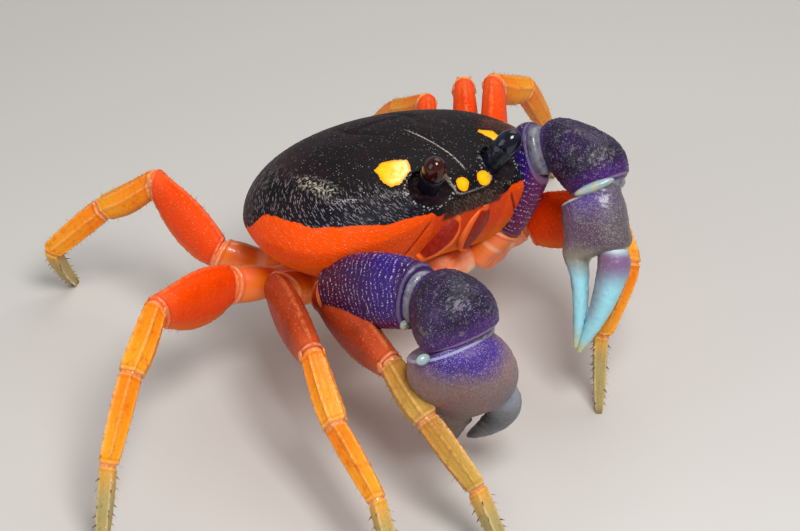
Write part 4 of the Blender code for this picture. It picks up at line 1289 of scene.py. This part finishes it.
def make_leg(tag, sizes, finishes):
    points = leg_points(tag)
    planes = joint_planes(points)
    scale = REAR_LEG_SCALE if tag[1] == "5" else 1.0
    skins = []
    bristles = Bristles(f"bristles {tag}")
    for index, kind in enumerate(SEGMENTS):
        tube = leg_segment(index, points, scale)
        bm = rolled(GRIDS["leg"], leg_skin(kind, tube), ("along", "dorsal", "keel"))
        skin_gap = sizes.joint_gap
        if kind == "dactylus":
            cut(bm, Vector(), -UP)
            bmesh.ops.edgeloop_fill(bm, edges=open_edges(bm))
            skin_gap = None
        cuts = joint_cuts(planes, index, sizes.joint_gap)
        skins += close_joints(bm, cuts, tube, sizes.lip, skin_gap)
        if kind == "merus":
            knee, _ = cuts[-1]
            skins.append(knee_lobes(tube, knee, scale * SHAPES[kind][-1][3]))
        piece(f"leg_{tag}_{kind}_shell", bm, finishes[kind], LEG_SLOTS[kind], f"leg_{tag}_{kind}")
        add_leg_bristles(bristles, kind, tube, index, sizes)
    piece(f"leg_{tag}_joint_skins", joined(skins), finishes["skin"], "pale_shell")
    piece(f"leg_{tag}_bristles", bristles.bm, finishes["bristle"], "straw_shell")


def knee_lobes(tube, knee, half_thickness):
    """The pair of small knobs that a joint turns on, one on each flat side of the leg."""
    bm = bmesh.new()
    turn = turned_to(tube.flat, tube.along, tube.up) @ Matrix.Diagonal(LOBE_SHAPE).to_4x4()
    for side in (-1, 1):
        middle = knee + tube.flat * (side * half_thickness * LOBE_OUT * MM)
        bmesh.ops.create_uvsphere(bm, u_segments=18, v_segments=12, radius=LOBE_RADIUS,
                                  matrix=Matrix.Translation(middle) @ turn)
    return bm


# Rows of bristles: angle about the segment in degrees, and how many stand along it.
BRISTLE_ROWS = {
    "hip": ((-90, 5),),
    "merus": ((90, 26), (84, 20), (-90, 22), (-82, 16)),
    "carpus": ((62, 14), (118, 14), (-90, 12), (-60, 9)),
    "propodus": ((66, 18), (114, 18), (-90, 16), (-60, 12), (-120, 12)),
    "dactylus": ((90, 8), (0, 8), (180, 8), (-90, 8)),
}
SPINE_ROWS = (45, 135, -45, -135)
SPINES_A_ROW = 9


def add_leg_bristles(bristles, kind, tube, index, sizes):
    """Rows of thin bristles along a segment, and rows of stout spines too along the tip of the leg."""
    dice = bristles.dice

    def plant(reach, angle, forward, length, width, lift, sides, sink):
        """One bristle or spine, unless it would touch the floor."""
        root, out, _, _ = tube.at(tube.share(limited(reach, 0.06, 0.94)), angle)
        lean = (out + tube.along * forward).normalized()
        if root.z + lean.z * length > FLOOR_CLEARANCE:
            on_map = (0.02 + 0.19 * (index + limited(reach)), (angle / math.tau) % 1.0 * 0.95)
            bristles.add(root + out * lift, lean, length, width, on_map, sides, sink)

    along = 0.8 if kind == "dactylus" else 1.0
    for angle, count in BRISTLE_ROWS[kind]:
        for i in range(count):
            reach = (i + 0.5 + dice.uniform(-0.4, 0.4)) / count * along
            turn = -math.radians(angle + dice.uniform(-7, 7))
            plant(reach, turn, dice.uniform(0.25, 0.9), sizes.bristle_length * dice.uniform(0.45, 1.2),
                  sizes.bristle_width, 0.0, 3, 0.15)
    if kind != "dactylus":
        return
    for angle in SPINE_ROWS:
        for i in range(SPINES_A_ROW):
            reach = 0.08 + 0.80 * (i + dice.uniform(0.2, 0.6)) / SPINES_A_ROW
            turn = -math.radians(angle + dice.uniform(-6, 6))
            length = sizes.spine_length * dice.uniform(0.8, 1.15) * (1.1 - 0.35 * reach)
            plant(reach, turn, 0.75, length, sizes.spine_width, SPINE_LIFT, 6, 0.3)


def joint_rims(finish, pale, dark):
    """The layers of a pale edge at each joint and of a darker line behind it."""
    rim = finish.mark("rim")
    worn = finish.clouds(0.6, 2.0).step(0.3, 0.6)
    return ((abs(rim - 0.80).step(0.30, 0.05) * 0.3, dark),
            (abs(rim - 0.28).step(0.26, 0.06) * (0.05 + 0.35 * worn), pale))


def merus_finish(name, red, dark, below, colours):
    finish = Finish(name, coat=0.05, coat_roughness=0.22, specular=0.12)
    broad, fine = finish.clouds(5), finish.clouds(0.8)
    grains = finish.grains(0.46)
    rows = finish.grains(0.30).step(0.35, 0.15) * fine.step(0.45, 0.65)
    colour = finish.paint(
        red, (broad.step(0.5, 0.8) * 0.5, dark),
        (finish.mark("dorsal").step(-0.35, -0.95) * 0.55, below),
        (finish.mark("along").step(0.75, 1.05) * 0.35, colours.coral),
        # Pale grain tops and rows: painted highlights on the granules.
        (grains.step(0.26, 0.12) * fine.step(0.35, 0.6) * 0.5, Tint.merus_grain_highlights),
        # Pale keels: a painted highlight along the ridges.
        (finish.mark("keel").step(0.15, 0.4) * fine.step(0.3, 0.6) * 0.22, Tint.merus_keel_highlight),
        (rows * 0.25, Tint.merus_grain_highlights), *joint_rims(finish, colours.pale, Tint.merus_rim))
    return finish.done(colour, 0.36 + 0.16 * fine, grains.step(0.55, 0.08) + fine * 0.6, 0.05)


def shank_finish(name, orange, yellow, streak, colours):
    """Carpus and propodus: orange that yellows towards the tip, with a painted highlight along the keels, and
    dark specks.
    """
    finish = Finish(name, coat=0.05, coat_roughness=0.22, specular=0.16)
    broad, fine = finish.clouds(4), finish.clouds(0.7)
    yellowing = finish.mark("along").step(-0.1, 1.0) * 0.75 + broad * 0.5 - 0.25
    # A painted highlight along the keels.
    crest = finish.mark("keel").step(0.10, 0.30) * fine.step(0.25, 0.55)
    streaks = finish.clouds(1.8, 4.0, roughness=0.7).step(0.52, 0.70)
    specks = finish.grains(0.62).step(0.15, 0.07) * fine.step(0.4, 0.6)
    colour = finish.paint(
        orange, (yellowing, yellow), (crest * 0.35, Tint.shank_keel_highlight), (streaks * 0.55, streak),
        (specks * 0.7, Tint.shank_specks), *joint_rims(finish, colours.pale, Tint.shank_rim))
    return finish.done(colour, 0.40 + 0.16 * fine, finish.grains(0.4).step(0.55, 0.08) * 0.7 + fine, 0.06)


def tip_finish(colours):
    finish = Finish("leg_tip", specular=0.3)
    broad, fine = finish.clouds(2.5), finish.clouds(0.5)
    along = finish.mark("along")
    colour = finish.paint(
        colours.straw, (broad, Tint.tip_olive), (along.step(0.35, -0.05) * 0.8, colours.yellow),
        # A painted highlight along the keels.
        (finish.mark("keel").step(0.06, 0.2) * 0.5, Tint.tip_keel_highlight),
        (along.step(0.80, 1.0) * 0.8, Tint.tip_end),
        (finish.grains(0.5).step(0.2, 0.1) * 0.4, Tint.tip_specks))
    return finish.done(colour, 0.48 + 0.2 * fine, fine, 0.09)


def root_finish(colours):
    finish = Finish("leg_root", coat=0.55, coat_roughness=0.12, subsurface=0.05)
    broad, fine = finish.clouds(3.5), finish.clouds(0.8)
    along = finish.mark("along")
    colour = finish.paint(
        colours.coral, (broad.step(0.35, 0.7), colours.orange),
        (abs(along - 0.5).step(0.10, 0.02) * 0.6, colours.pale),
        (abs(along - 0.28).step(0.06, 0.01) * 0.4, Tint.root_ring),
        *joint_rims(finish, colours.pale, Tint.root_rim))
    return finish.done(colour, 0.26 + 0.16 * fine, fine, 0.04)


def skin_finish():
    finish = Finish("joint_skin", coat=0.4, coat_roughness=0.15, subsurface=0.08)
    fine = finish.clouds(0.4)
    return finish.done(finish.blend(fine.step(0.35, 0.7), Tint.skin_light, Tint.skin_dark), 0.35, fine, 0.05)


def bristle_finish(colours):
    finish = Finish("bristle")
    patches = finish.clouds(1.2, 2.0)
    return finish.done(finish.blend(patches.step(0.35, 0.65), Tint.pale_bristle, colours.hair), 0.5)


def leg_finishes(colours):
    """The finishes of each leg's parts. The two right legs in front are browner and darker than the others,
    partly as painted shade.
    """
    red = merus_finish("leg_merus", colours.merus, Tint.merus_dark, colours.orange, colours)
    brown = merus_finish("leg_merus_brown_and_shade", colours.merus_brown_and_shade, Tint.merus_brown_and_shade_dark,
                         Tint.merus_brown_and_shade_below, colours)
    orange = shank_finish("leg_shank", colours.orange, colours.yellow, Tint.shank_streak, colours)
    olive_and_shade = shank_finish("leg_shank_olive_and_shade", colours.olive_and_shade, colours.olive_yellow_and_shade, Tint.shank_olive_and_shade_streak,
                         colours)
    shared = {"hip": root_finish(colours), "dactylus": tip_finish(colours), "skin": skin_finish(),
              "bristle": bristle_finish(colours)}
    finishes = {}
    for tag in POSES:
        # The foremost right leg's middle segments take the duller olive, darkened as painted shade of the
        # large claw.
        shank = olive_and_shade if tag == "r2" else orange
        # The two right legs in front take the browner, darker red: painted shade of the large claw on the
        # foremost, and a browner red on the other.
        merus = brown if tag in ("r2", "r3") else red
        finishes[tag] = {**shared, "merus": merus, "carpus": shank, "propodus": shank}
    return finishes


# Claws


def granules(point, size):
    """Rounded grains of about that size in millimetres: 1 on top of a grain and 0 between them."""
    nearest = noise.voronoi(point / (MM * size))[0][0]
    return limited(1.0 - nearest * 1.9) ** 0.7


def calm_at_joints(point, *planes):
    """0 at the nearest joint and 1 from a short way off, to keep granules out of the cuts."""
    return limited(min(abs((point - place).dot(normal)) for place, normal in planes) / CALM_REACH - 0.2)


def close_claw_joints(bm, cuts, segment, sizes, has_skin=True):
    """Closes a segment of a claw limb, whose shell is thicker at its joints than a leg's."""
    skin_gap = sizes.joint_gap * CLAW_SKIN_STRETCH if has_skin else None
    return close_joints(bm, cuts, segment, sizes.lip * CLAW_LIP, skin_gap)


def make_claw_arm(tag, points, planes, sizes, finishes):
    """The hip and the broad segment of a claw limb, with its wavy cross rows of pale granules. Returns
    the skins of their far joints."""
    root, hip_end, elbow = points[:3]
    size = CLAWS[tag]["size"]
    hip = Segment(root, hip_end, (hip_end - root).cross(UP).normalized(), SHAPES["claw_hip"], size)
    bm = rolled(GRIDS["leg"], leg_skin("hip", hip), ("along", "dorsal", "keel"))
    skins = close_claw_joints(bm, joint_cuts(planes, 0, sizes.joint_gap), hip, sizes)
    piece(f"claw_{tag}_hip_shell", bm, finishes["hip"], "pale_shell", f"claw_{tag}_hip")

    across = BODY.to_3x3() @ Vector((1, 0, 0))
    merus = Segment(hip_end, elbow, across, SHAPES["claw_merus"], size, ARM_BOW)

    def surface(share, angle):
        point, out, shrink, reach = merus.at(share, angle)
        wander = 0.75 * noise.noise(point / MM * 0.40) + 0.28 * noise.noise(point / MM * 1.2)
        row = (reach * merus.length / ARM_ROW_PITCH + wander) % 1.0
        crest = bell(row - 0.5, 0.17) * calm_at_joints(point, planes[1], planes[2])
        grain = 0.15 + 0.85 * granules(point, 0.46)
        height = crest * grain * sizes.granule + 0.05 * MM * noise.noise(point / MM * 2.0)
        return point + out * (height * shrink), (reach, math.sin(angle), crest)

    bm = rolled(GRIDS["arm"], surface, ("along", "dorsal", "crest"))
    skins += close_claw_joints(bm, joint_cuts(planes, 1, sizes.joint_gap), merus, sizes)
    piece(f"claw_{tag}_arm_shell", bm, finishes["arm"], "violet_shell", f"claw_{tag}_merus")
    return skins


def make_claw_knuckle(tag, points, planes, sizes, finishes):
    """The rounded knuckle between the arm and the palm, granular all over. Returns its far joint's skin."""
    elbow, wrist = points[2:4]
    centre = over_floor(CLAWS[tag]["carpus"])
    length, width, height = CLAWS[tag]["carpus_radii"]
    behind = (centre - elbow).length / MM * PAST_ELBOW
    along = (wrist - elbow).normalized()
    turn = along.to_track_quat("X", "Z").to_matrix()
    line = Segment(elbow, wrist, along.orthogonal(), PLAIN_SHAPE)

    def surface(share, angle):
        polar = math.pi * share
        x = -math.cos(polar)
        flare = (1 + CLAW_CARPUS_FLARE * x) * math.sin(polar) ** (CLAW_CARPUS_BLUNT if x < 0 else 1.0)
        arm = turn @ Vector((x * (behind if x < 0 else length), math.cos(angle) * flare * width,
                             math.sin(angle) * flare * height)) * MM
        point = centre + arm
        crest = granules(point, 0.48) * calm_at_joints(point, planes[2], planes[3])
        rise = crest * sizes.granule * 1.1 + 0.09 * MM * noise.noise(point / MM * 1.1)
        return point + arm.normalized() * rise, (share, math.sin(angle), crest)

    bm = rolled(GRIDS["knuckle"], surface, ("along", "dorsal", "crest"))
    skins = close_claw_joints(bm, joint_cuts(planes, 2, sizes.joint_gap), line, sizes)
    piece(f"claw_{tag}_knuckle_shell", bm, finishes["knuckle"], "violet_shell", f"claw_{tag}_carpus")
    return skins


def chela_surface(claw, part, wrist, along, toward, teeth_angle):
    """The surface of a palm or a finger from its table, which gives the place along the claw, the middle
    and the half height towards the movable finger, and the half thickness. The teeth stand at an angle
    about it in degrees."""
    rows, (first_tooth, last_tooth) = claw[part], claw[part + "_teeth"]
    start, end = rows[0], rows[-1]
    low, high = start[0] - 0.42 * start[2], end[0] + 0.4
    thick = along.cross(toward).normalized()
    tooth_height = TOOTH_HEIGHT * claw["size"] * (1.0 if claw["size"] > 1 else SMALL_CLAW_TEETH)

    def surface(share, angle):
        place = low + share * (high - low)
        middle, half_high, half_thick = between(rows, limited(place, start[0], end[0]))
        shrink = 1.0
        if place < start[0]:
            shrink = domed((start[0] - place) / (start[0] - low))
        elif place > end[0]:
            shrink = domed((place - end[0]) / (high - end[0]))
        across, rise = oval(angle, LIMB_FULLNESS)
        out = (thick * (across / half_thick) + toward * (rise / half_high)).normalized()
        point = wrist + along * (place * MM) + toward * (middle * MM)
        point += (thick * (half_thick * across) + toward * (half_high * rise)) * (MM * shrink)
        facing = bell(math.degrees(angle) - teeth_angle, 16)
        grows = limited((place - first_tooth) / 0.8) * limited((last_tooth - place) / 0.8)
        tooth = max(0.0, math.sin(place * math.tau / TOOTH_PITCH)) ** 0.8
        tooth *= 0.7 + 0.3 * math.sin(place * 2.1)
        crest = granules(point, 0.36) * limited((first_tooth + 2 - place) / 6)
        height = tooth_height * tooth * facing * grows
        height += 0.05 * crest + 0.07 * noise.noise(point / MM * 1.3) * shrink
        reach = limited((place - start[0]) / (end[0] - start[0]))
        return point + out * (height * MM), (reach, math.sin(angle), crest, facing * grows)

    return surface


# Each claw's pale knobs at its elbow and wrist: joint, way out from the joint, distance out, half sizes.
CLAW_KNOBS = {
    "r": ((2, (-0.62, -0.40, -0.68), 4.7, (0.7, 0.8, 0.7)), (3, (-0.84, 0.30, 0.17), 5.0, (0.7, 1.1, 0.8))),
    "l": ((3, (-0.62, -0.78, 0.1), 2.9, (3.3, 1.1, 0.8)),),
}


def across_only(direction, along):
    """The unit direction that is left of one direction across another."""
    return (direction - along * direction.dot(along)).normalized()


def claw_knobs(tag, points, planes):
    """The shining knobs and the oval plate that show in the slits of a claw's joints."""
    bm = bmesh.new()
    for joint, outward, reach, half in CLAW_KNOBS[tag]:
        _, normal = planes[joint]
        out = across_only(Vector(outward), normal)
        turn = turned_to(normal.cross(out), out, normal) @ Matrix.Diagonal((*half, 1.0))
        bmesh.ops.create_uvsphere(bm, u_segments=32, v_segments=20, radius=MM,
                                  matrix=Matrix.Translation(points[joint] + out * (reach * MM)) @ turn)
    return bm


def make_claw(tag, sizes, finishes):
    claw = CLAWS[tag]
    points = [from_body(*claw["root"])]
    points += [over_floor(claw[k]) for k in ("hip_end", "elbow", "wrist", "tip")]
    planes = joint_planes(points)
    skins = make_claw_arm(tag, points, planes, sizes, finishes)
    skins += make_claw_knuckle(tag, points, planes, sizes, finishes)
    wrist, tip = points[3:]
    along = (tip - wrist).normalized()
    toward = across_only(Vector(claw["dactyl_side"]), along)
    marks = ("along", "toward", "crest", "teeth")
    palm = rolled(GRIDS["palm"], chela_surface(claw, "palm", wrist, along, toward, 90), marks)
    line = Segment(wrist, tip, toward, PLAIN_SHAPE)
    close_claw_joints(palm, joint_cuts(planes, 3, sizes.joint_gap), line, sizes, has_skin=False)
    piece(f"claw_{tag}_palm_shell", palm, finishes[f"palm_{tag}"], "mauve_shell", f"claw_{tag}_palm")
    finger = rolled(GRIDS["finger"], chela_surface(claw, "dactyl", wrist, along, toward, 270), marks)
    piece(f"claw_{tag}_finger_shell", finger, finishes[f"finger_{tag}"], "mauve_shell", f"claw_{tag}_dactyl")
    piece(f"claw_{tag}_joint_skins", joined(skins), finishes["skin"], "pale_shell")
    piece(f"claw_{tag}_knobs", claw_knobs(tag, points, planes), finishes["knob"], "pale_shell")


def joint_line(finish):
    """A thin line that runs along each edge at a joint."""
    return abs(finish.mark("rim") - 0.32).step(0.26, 0.08)


def arm_finish(colours):
    finish = Finish("claw_arm", coat=0.12, coat_roughness=0.25, specular=0.3)
    broad, fine = finish.clouds(4), finish.clouds(0.8)
    along, crest = finish.mark("along"), finish.mark("crest")
    band = along.step(0.50, 0.72) * along.step(0.96, 0.86) * broad.step(0.15, 0.5)
    beads = finish.grains(0.34).step(0.52, 0.22)
    colour = finish.paint(
        colours.maroon, (along.step(0.1, 0.55), colours.violet), (band * 0.85, colours.arm_blue),
        (finish.mark("dorsal").step(-0.4, -0.95) * 0.7, Tint.arm_below),
        (broad.step(0.55, 0.8) * 0.4, Tint.arm_shade),
        (crest.step(0.30, 0.70) * beads * (0.25 + 0.9 * fine), colours.granule),
        (finish.grains(0.5).step(0.15, 0.07) * 0.6, colours.granule),
        (joint_line(finish) * 0.25, Tint.arm_rim))
    return finish.done(colour, 0.36 + 0.14 * fine, fine * 0.7 + crest.step(0.2, 0.7) * beads, 0.06)


def knuckle_finish():
    finish = Finish("claw_knuckle", coat=0.16, coat_roughness=0.28, specular=0.3)
    broad, fine = finish.clouds(4), finish.clouds(0.8)
    beads = finish.grains(0.30).step(0.40, 0.15)
    colour = finish.paint(
        Tint.knuckle_black, (broad.step(0.35, 0.7), Tint.knuckle_violet),
        (finish.mark("rim").step(3.6, 0.6) * 0.8, Tint.knuckle_edge),
        (finish.mark("crest").step(0.45, 0.9) * fine.step(0.3, 0.7) * 0.5, Tint.knuckle_crest),
        (beads * (fine.step(0.35, 0.65) * 0.45 + 0.08), Tint.knuckle_beads),
        (finish.clouds(1.6).step(0.60, 0.70) * 0.22, Tint.knuckle_scuff),
        (joint_line(finish) * 0.5, Tint.knuckle_rim))
    return finish.done(colour, 0.34 + 0.16 * fine, fine * 0.6 + beads, 0.06)


def right_palm_finish(colours):
    finish = Finish("claw_palm_right", coat=0.05, coat_roughness=0.3, specular=0.3)
    broad, fine = finish.clouds(5), finish.clouds(0.55, roughness=0.7)
    along = finish.mark("along") + (broad - 0.5) * 0.12
    grey = finish.mark("toward").step(0.3, 0.95) * along.step(0.1, 0.35)
    dust = fine.step(0.55, 0.72) * (1 - along.step(0.5, 1.0) * 0.5)
    beads = finish.grains(0.27).step(0.42, 0.15)
    colour = finish.paint(
        colours.blue, (along.step(-0.02, 0.07), Tint.palm_violet), (along.step(0.03, 0.15), colours.mauve),
        (along.step(0.34, 0.58), colours.drab), (grey * 0.6, Tint.palm_grey),
        (broad.step(0.5, 0.8) * 0.35, Tint.palm_rose), (dust * 0.3, Tint.palm_dust),
        (beads * (1 - along.step(0.1, 0.6) * 0.6) * 0.5, Tint.palm_beads),
        (fine.step(0.42, 0.30) * 0.35, Tint.palm_pits),
        (finish.mark("teeth").step(0.35, 0.9) * 0.6, Tint.palm_teeth),
        (joint_line(finish) * 0.6, Tint.palm_rim))
    return finish.done(colour, 0.42 + 0.18 * fine, fine + beads * 0.8, 0.055)


def left_palm_finish(colours):
    finish = Finish("claw_palm_left", coat=0.3, coat_roughness=0.2)
    broad, fine = finish.clouds(4), finish.clouds(0.55, roughness=0.7)
    along = finish.mark("along") + (broad - 0.5) * 0.08
    toward = finish.mark("toward")
    beads = finish.grains(0.27).step(0.42, 0.15) * along.step(0.6, 0.3)
    specks = finish.grains(0.6).step(0.16, 0.08) * along.step(0.4, 0.6)
    colour = finish.paint(
        Tint.small_palm_blue, (along.step(0.0, 0.22), Tint.small_palm_mauve),
        (toward.step(-0.2, 0.9) * 0.75 * along.step(0.42, 0.2), Tint.small_palm_drab),
        (along.step(0.30, 0.44), Tint.small_palm_end), (along.step(0.42, 0.58), colours.sky),
        (toward.step(0.1, -0.8) * broad.step(0.35, 0.65) * 0.5, Tint.small_palm_shade),
        (along.step(0.84, 1.0) * 0.75, Tint.small_palm_tip),
        (fine.step(0.56, 0.72) * 0.25, Tint.small_palm_dust),
        (beads * 0.38, Tint.small_palm_beads), (specks * 0.5, Tint.small_palm_specks),
        (finish.mark("teeth").step(0.4, 0.95) * 0.35, Tint.small_palm_teeth),
        (joint_line(finish) * 0.7, Tint.small_palm_rim))
    return finish.done(colour, 0.32 + 0.2 * fine, fine, 0.045)


def right_finger_finish(colours):
    finish = Finish("claw_finger_right", coat=0.15, coat_roughness=0.3)
    broad, fine = finish.clouds(3), finish.clouds(0.6, roughness=0.7)
    colour = finish.paint(
        colours.slate, (broad.step(0.3, 0.7), Tint.finger_grey),
        (finish.mark("along").step(0.25, 0.0) * 0.6, Tint.finger_root),
        (fine.step(0.55, 0.7) * 0.4, Tint.finger_dust),
        (finish.mark("teeth").step(0.35, 0.9) * 0.6, Tint.finger_teeth))
    return finish.done(colour, 0.42 + 0.2 * fine, fine, 0.05)


def left_finger_finish(colours):
    finish = Finish("claw_finger_left", coat=0.35, coat_roughness=0.18)
    fine = finish.clouds(0.6, roughness=0.7)
    along = finish.mark("along")
    inside = finish.mark("toward").step(0.35, -0.75) * along.step(0.85, 0.55)
    colour = finish.paint(
        Tint.small_finger_root, (along.step(0.0, 0.10), Tint.small_finger_violet),
        (along.step(0.15, 0.42), colours.sky), (inside * (0.35 + 0.6 * fine), Tint.small_finger_inside),
        (along.step(0.86, 1.0) * 0.8, Tint.small_finger_tip),
        (finish.grains(0.6).step(0.16, 0.08) * 0.5, Tint.small_finger_specks),
        (fine.step(0.58, 0.72) * 0.3, Tint.small_finger_dust))
    return finish.done(colour, 0.32 + 0.2 * fine, fine, 0.045)


def claw_skin_finish():
    finish = Finish("claw_joint_skin", coat=0.4, coat_roughness=0.15, subsurface=0.06)
    fine = finish.clouds(0.9)
    colour = finish.blend(fine.step(0.40, 0.75), Tint.claw_skin_light, Tint.claw_skin_dark)
    return finish.done(colour, 0.35, fine, 0.06)


def knob_finish(colours):
    finish = Finish("claw_knob", coat=0.5, coat_roughness=0.12, subsurface=0.06)
    colour = finish.blend(finish.clouds(1.5).step(0.35, 0.65), colours.knob, Tint.knob_blue)
    return finish.done(colour, 0.3, finish.clouds(0.5), 0.06)


# Stage

CAMERA_AZIMUTH = math.radians(41.0)
CAMERA_ELEVATION = math.radians(34.0)
CAMERA_DISTANCE = 350.0
CAMERA_SHIFT = (1.0, -7.5)
CAMERA_AIM_Z = 25.0
CAMERA_CLIPS = (0.01, 20.0)
PIXELS_ACROSS = 800
FOCAL_PIXELS = 2170.0
SENSOR_WIDTH = 36.0
# Each lamp: its place in metres, by how far back, right and up in the camera's axes and how high over the
# floor, and its width.
LAMPS = {
    "key": ((0.36, 0.08, 0.16, 0.0), 0.14),
    "fill": ((0.30, -0.40, 0.05, 0.0), 0.30),
    "rim": ((-0.20, 0.10, 0.0, 0.45), 0.30),
}
LAMP_AIM = Vector((0, 0, 0.02))
FLOOR_HALF_WIDTH = 2.5


def camera_axes():
    back = Vector((-math.sin(CAMERA_AZIMUTH) * math.cos(CAMERA_ELEVATION),
                   -math.cos(CAMERA_AZIMUTH) * math.cos(CAMERA_ELEVATION), math.sin(CAMERA_ELEVATION)))
    right = Vector((math.cos(CAMERA_AZIMUTH), -math.sin(CAMERA_AZIMUTH), 0.0))
    return right, back.cross(right), back


def make_camera():
    right, up, back = camera_axes()
    eye = BODY_PLACE + Vector((0, 0, CAMERA_AIM_Z)) + right * CAMERA_SHIFT[0] + up * CAMERA_SHIFT[1]
    eye += back * CAMERA_DISTANCE
    data = bpy.data.cameras.new("photo_view")
    data.sensor_width = SENSOR_WIDTH
    data.lens = FOCAL_PIXELS / PIXELS_ACROSS * SENSOR_WIDTH
    data.clip_start, data.clip_end = CAMERA_CLIPS
    camera = linked("photo_view", data)
    camera.matrix_world = Matrix.Translation(eye * MM) @ turned_to(right, up, back)
    bpy.context.scene.camera = camera


def make_lamp(name, power):
    """A square soft lamp that faces the crab."""
    right, up, back = camera_axes()
    (away, aside, above, height), width = LAMPS[name]
    place = back * away + right * aside + up * above + UP * height
    data = bpy.data.lights.new(name, "AREA")
    data.shape = "SQUARE"
    data.size = width
    data.energy = power
    turn = (LAMP_AIM - place).to_track_quat("-Z", "Y").to_matrix().to_4x4()
    linked(name, data).matrix_world = Matrix.Translation(place) @ turn


def make_floor(colour):
    bm = bmesh.new()
    bmesh.ops.create_grid(bm, x_segments=8, y_segments=8, size=FLOOR_HALF_WIDTH)
    mesh = mesh_from("floor", bm)
    finish = Finish("floor")
    patches = finish.clouds(60)
    mesh.materials.append(finish.done(finish.blend(patches * 0.15, colour, Tint.floor_patch), 0.8))
    linked("floor", mesh)


def make_sky(strength):
    world = bpy.context.scene.world or bpy.data.worlds.new("studio")
    bpy.context.scene.world = world
    world.use_nodes = True
    background = world.node_tree.nodes["Background"]
    background.inputs["Color"].default_value = (1.0, 1.0, 1.0, 1.0)
    background.inputs["Strength"].default_value = strength
    bpy.context.scene.view_settings.view_transform = "Standard"


# Operators


class CRAB_OT_carapace(bpy.types.Operator):
    """Make the carapace with its grooves, spots and orange flanks"""

    bl_idname = "crab.carapace"
    bl_label = "Carapace"

    def execute(self, context):
        make_carapace(context.scene.crab_sizes, context.scene.crab_colours)
        return {"FINISHED"}


class CRAB_OT_underside(bpy.types.Operator):
    """Make the breast plates and the folded tail"""

    bl_idname = "crab.underside"
    bl_label = "Under side"

    def execute(self, context):
        make_underside(context.scene.crab_colours)
        return {"FINISHED"}


class CRAB_OT_eyes(bpy.types.Operator):
    """Make the eyes on their stalks"""

    bl_idname = "crab.eyes"
    bl_label = "Eyes"

    def execute(self, context):
        make_eyes(context.scene.crab_colours)
        return {"FINISHED"}


class CRAB_OT_mouth(bpy.types.Operator):
    """Make the mouth plates and the hairs over them"""

    bl_idname = "crab.mouth"
    bl_label = "Mouth"

    def execute(self, context):
        make_mouth(context.scene.crab_sizes, context.scene.crab_colours)
        return {"FINISHED"}


class CRAB_OT_legs(bpy.types.Operator):
    """Make the eight walking legs with their joint skins and bristles"""

    bl_idname = "crab.legs"
    bl_label = "Walking legs"

    def execute(self, context):
        for tag, finishes in leg_finishes(context.scene.crab_colours).items():
            make_leg(tag, context.scene.crab_sizes, finishes)
        return {"FINISHED"}


class CRAB_OT_claws(bpy.types.Operator):
    """Make both claw limbs"""

    bl_idname = "crab.claws"
    bl_label = "Claws"

    def execute(self, context):
        colours = context.scene.crab_colours
        finishes = {
            "hip": root_finish(colours), "arm": arm_finish(colours), "knuckle": knuckle_finish(),
            "palm_r": right_palm_finish(colours), "palm_l": left_palm_finish(colours),
            "finger_r": right_finger_finish(colours), "finger_l": left_finger_finish(colours),
            "skin": claw_skin_finish(), "knob": knob_finish(colours),
        }
        for tag in CLAWS:
            make_claw(tag, context.scene.crab_sizes, finishes)
        return {"FINISHED"}


class CRAB_OT_stage(bpy.types.Operator):
    """Set the floor, the lamps and the camera"""

    bl_idname = "crab.stage"
    bl_label = "Stage"

    def execute(self, context):
        stage = context.scene.crab_stage
        make_camera()
        make_floor(stage.floor)
        make_sky(stage.sky_strength)
        for name, power in (("key", stage.key_power), ("fill", stage.fill_power), ("rim", stage.rim_power)):
            make_lamp(name, power)
        return {"FINISHED"}


OPERATORS = (CRAB_OT_stage, CRAB_OT_carapace, CRAB_OT_underside, CRAB_OT_eyes, CRAB_OT_mouth, CRAB_OT_legs,
             CRAB_OT_claws)


class CRAB_PT_panel(bpy.types.Panel):
    """Lists the pieces of the crab and the values they are made from"""

    bl_label = "Moon Crab"
    bl_idname = "CRAB_PT_panel"
    bl_space_type = "VIEW_3D"
    bl_region_type = "UI"
    bl_category = "Moon Crab"

    def draw(self, context):
        for operator in OPERATORS:
            self.layout.operator(operator.bl_idname)
        for group in (context.scene.crab_sizes, context.scene.crab_colours, context.scene.crab_stage):
            box = self.layout.box()
            for name in group.__annotations__:
                box.prop(group, name)


GROUPS = {"crab_sizes": CrabSizes, "crab_colours": CrabColours, "crab_stage": CrabStage}


def register():
    for cls in (*GROUPS.values(), *OPERATORS, CRAB_PT_panel):
        bpy.utils.register_class(cls)
    for name, group in GROUPS.items():
        setattr(bpy.types.Scene, name, PointerProperty(type=group))


def unregister():
    for name in GROUPS:
        delattr(bpy.types.Scene, name)
    for cls in (CRAB_PT_panel, *reversed(OPERATORS), *GROUPS.values()):
        bpy.utils.unregister_class(cls)


def main():
    register()
    for operator in OPERATORS:
        group, name = operator.bl_idname.split(".")
        getattr(getattr(bpy.ops, group), name)()


if __name__ == "__main__":
    main()
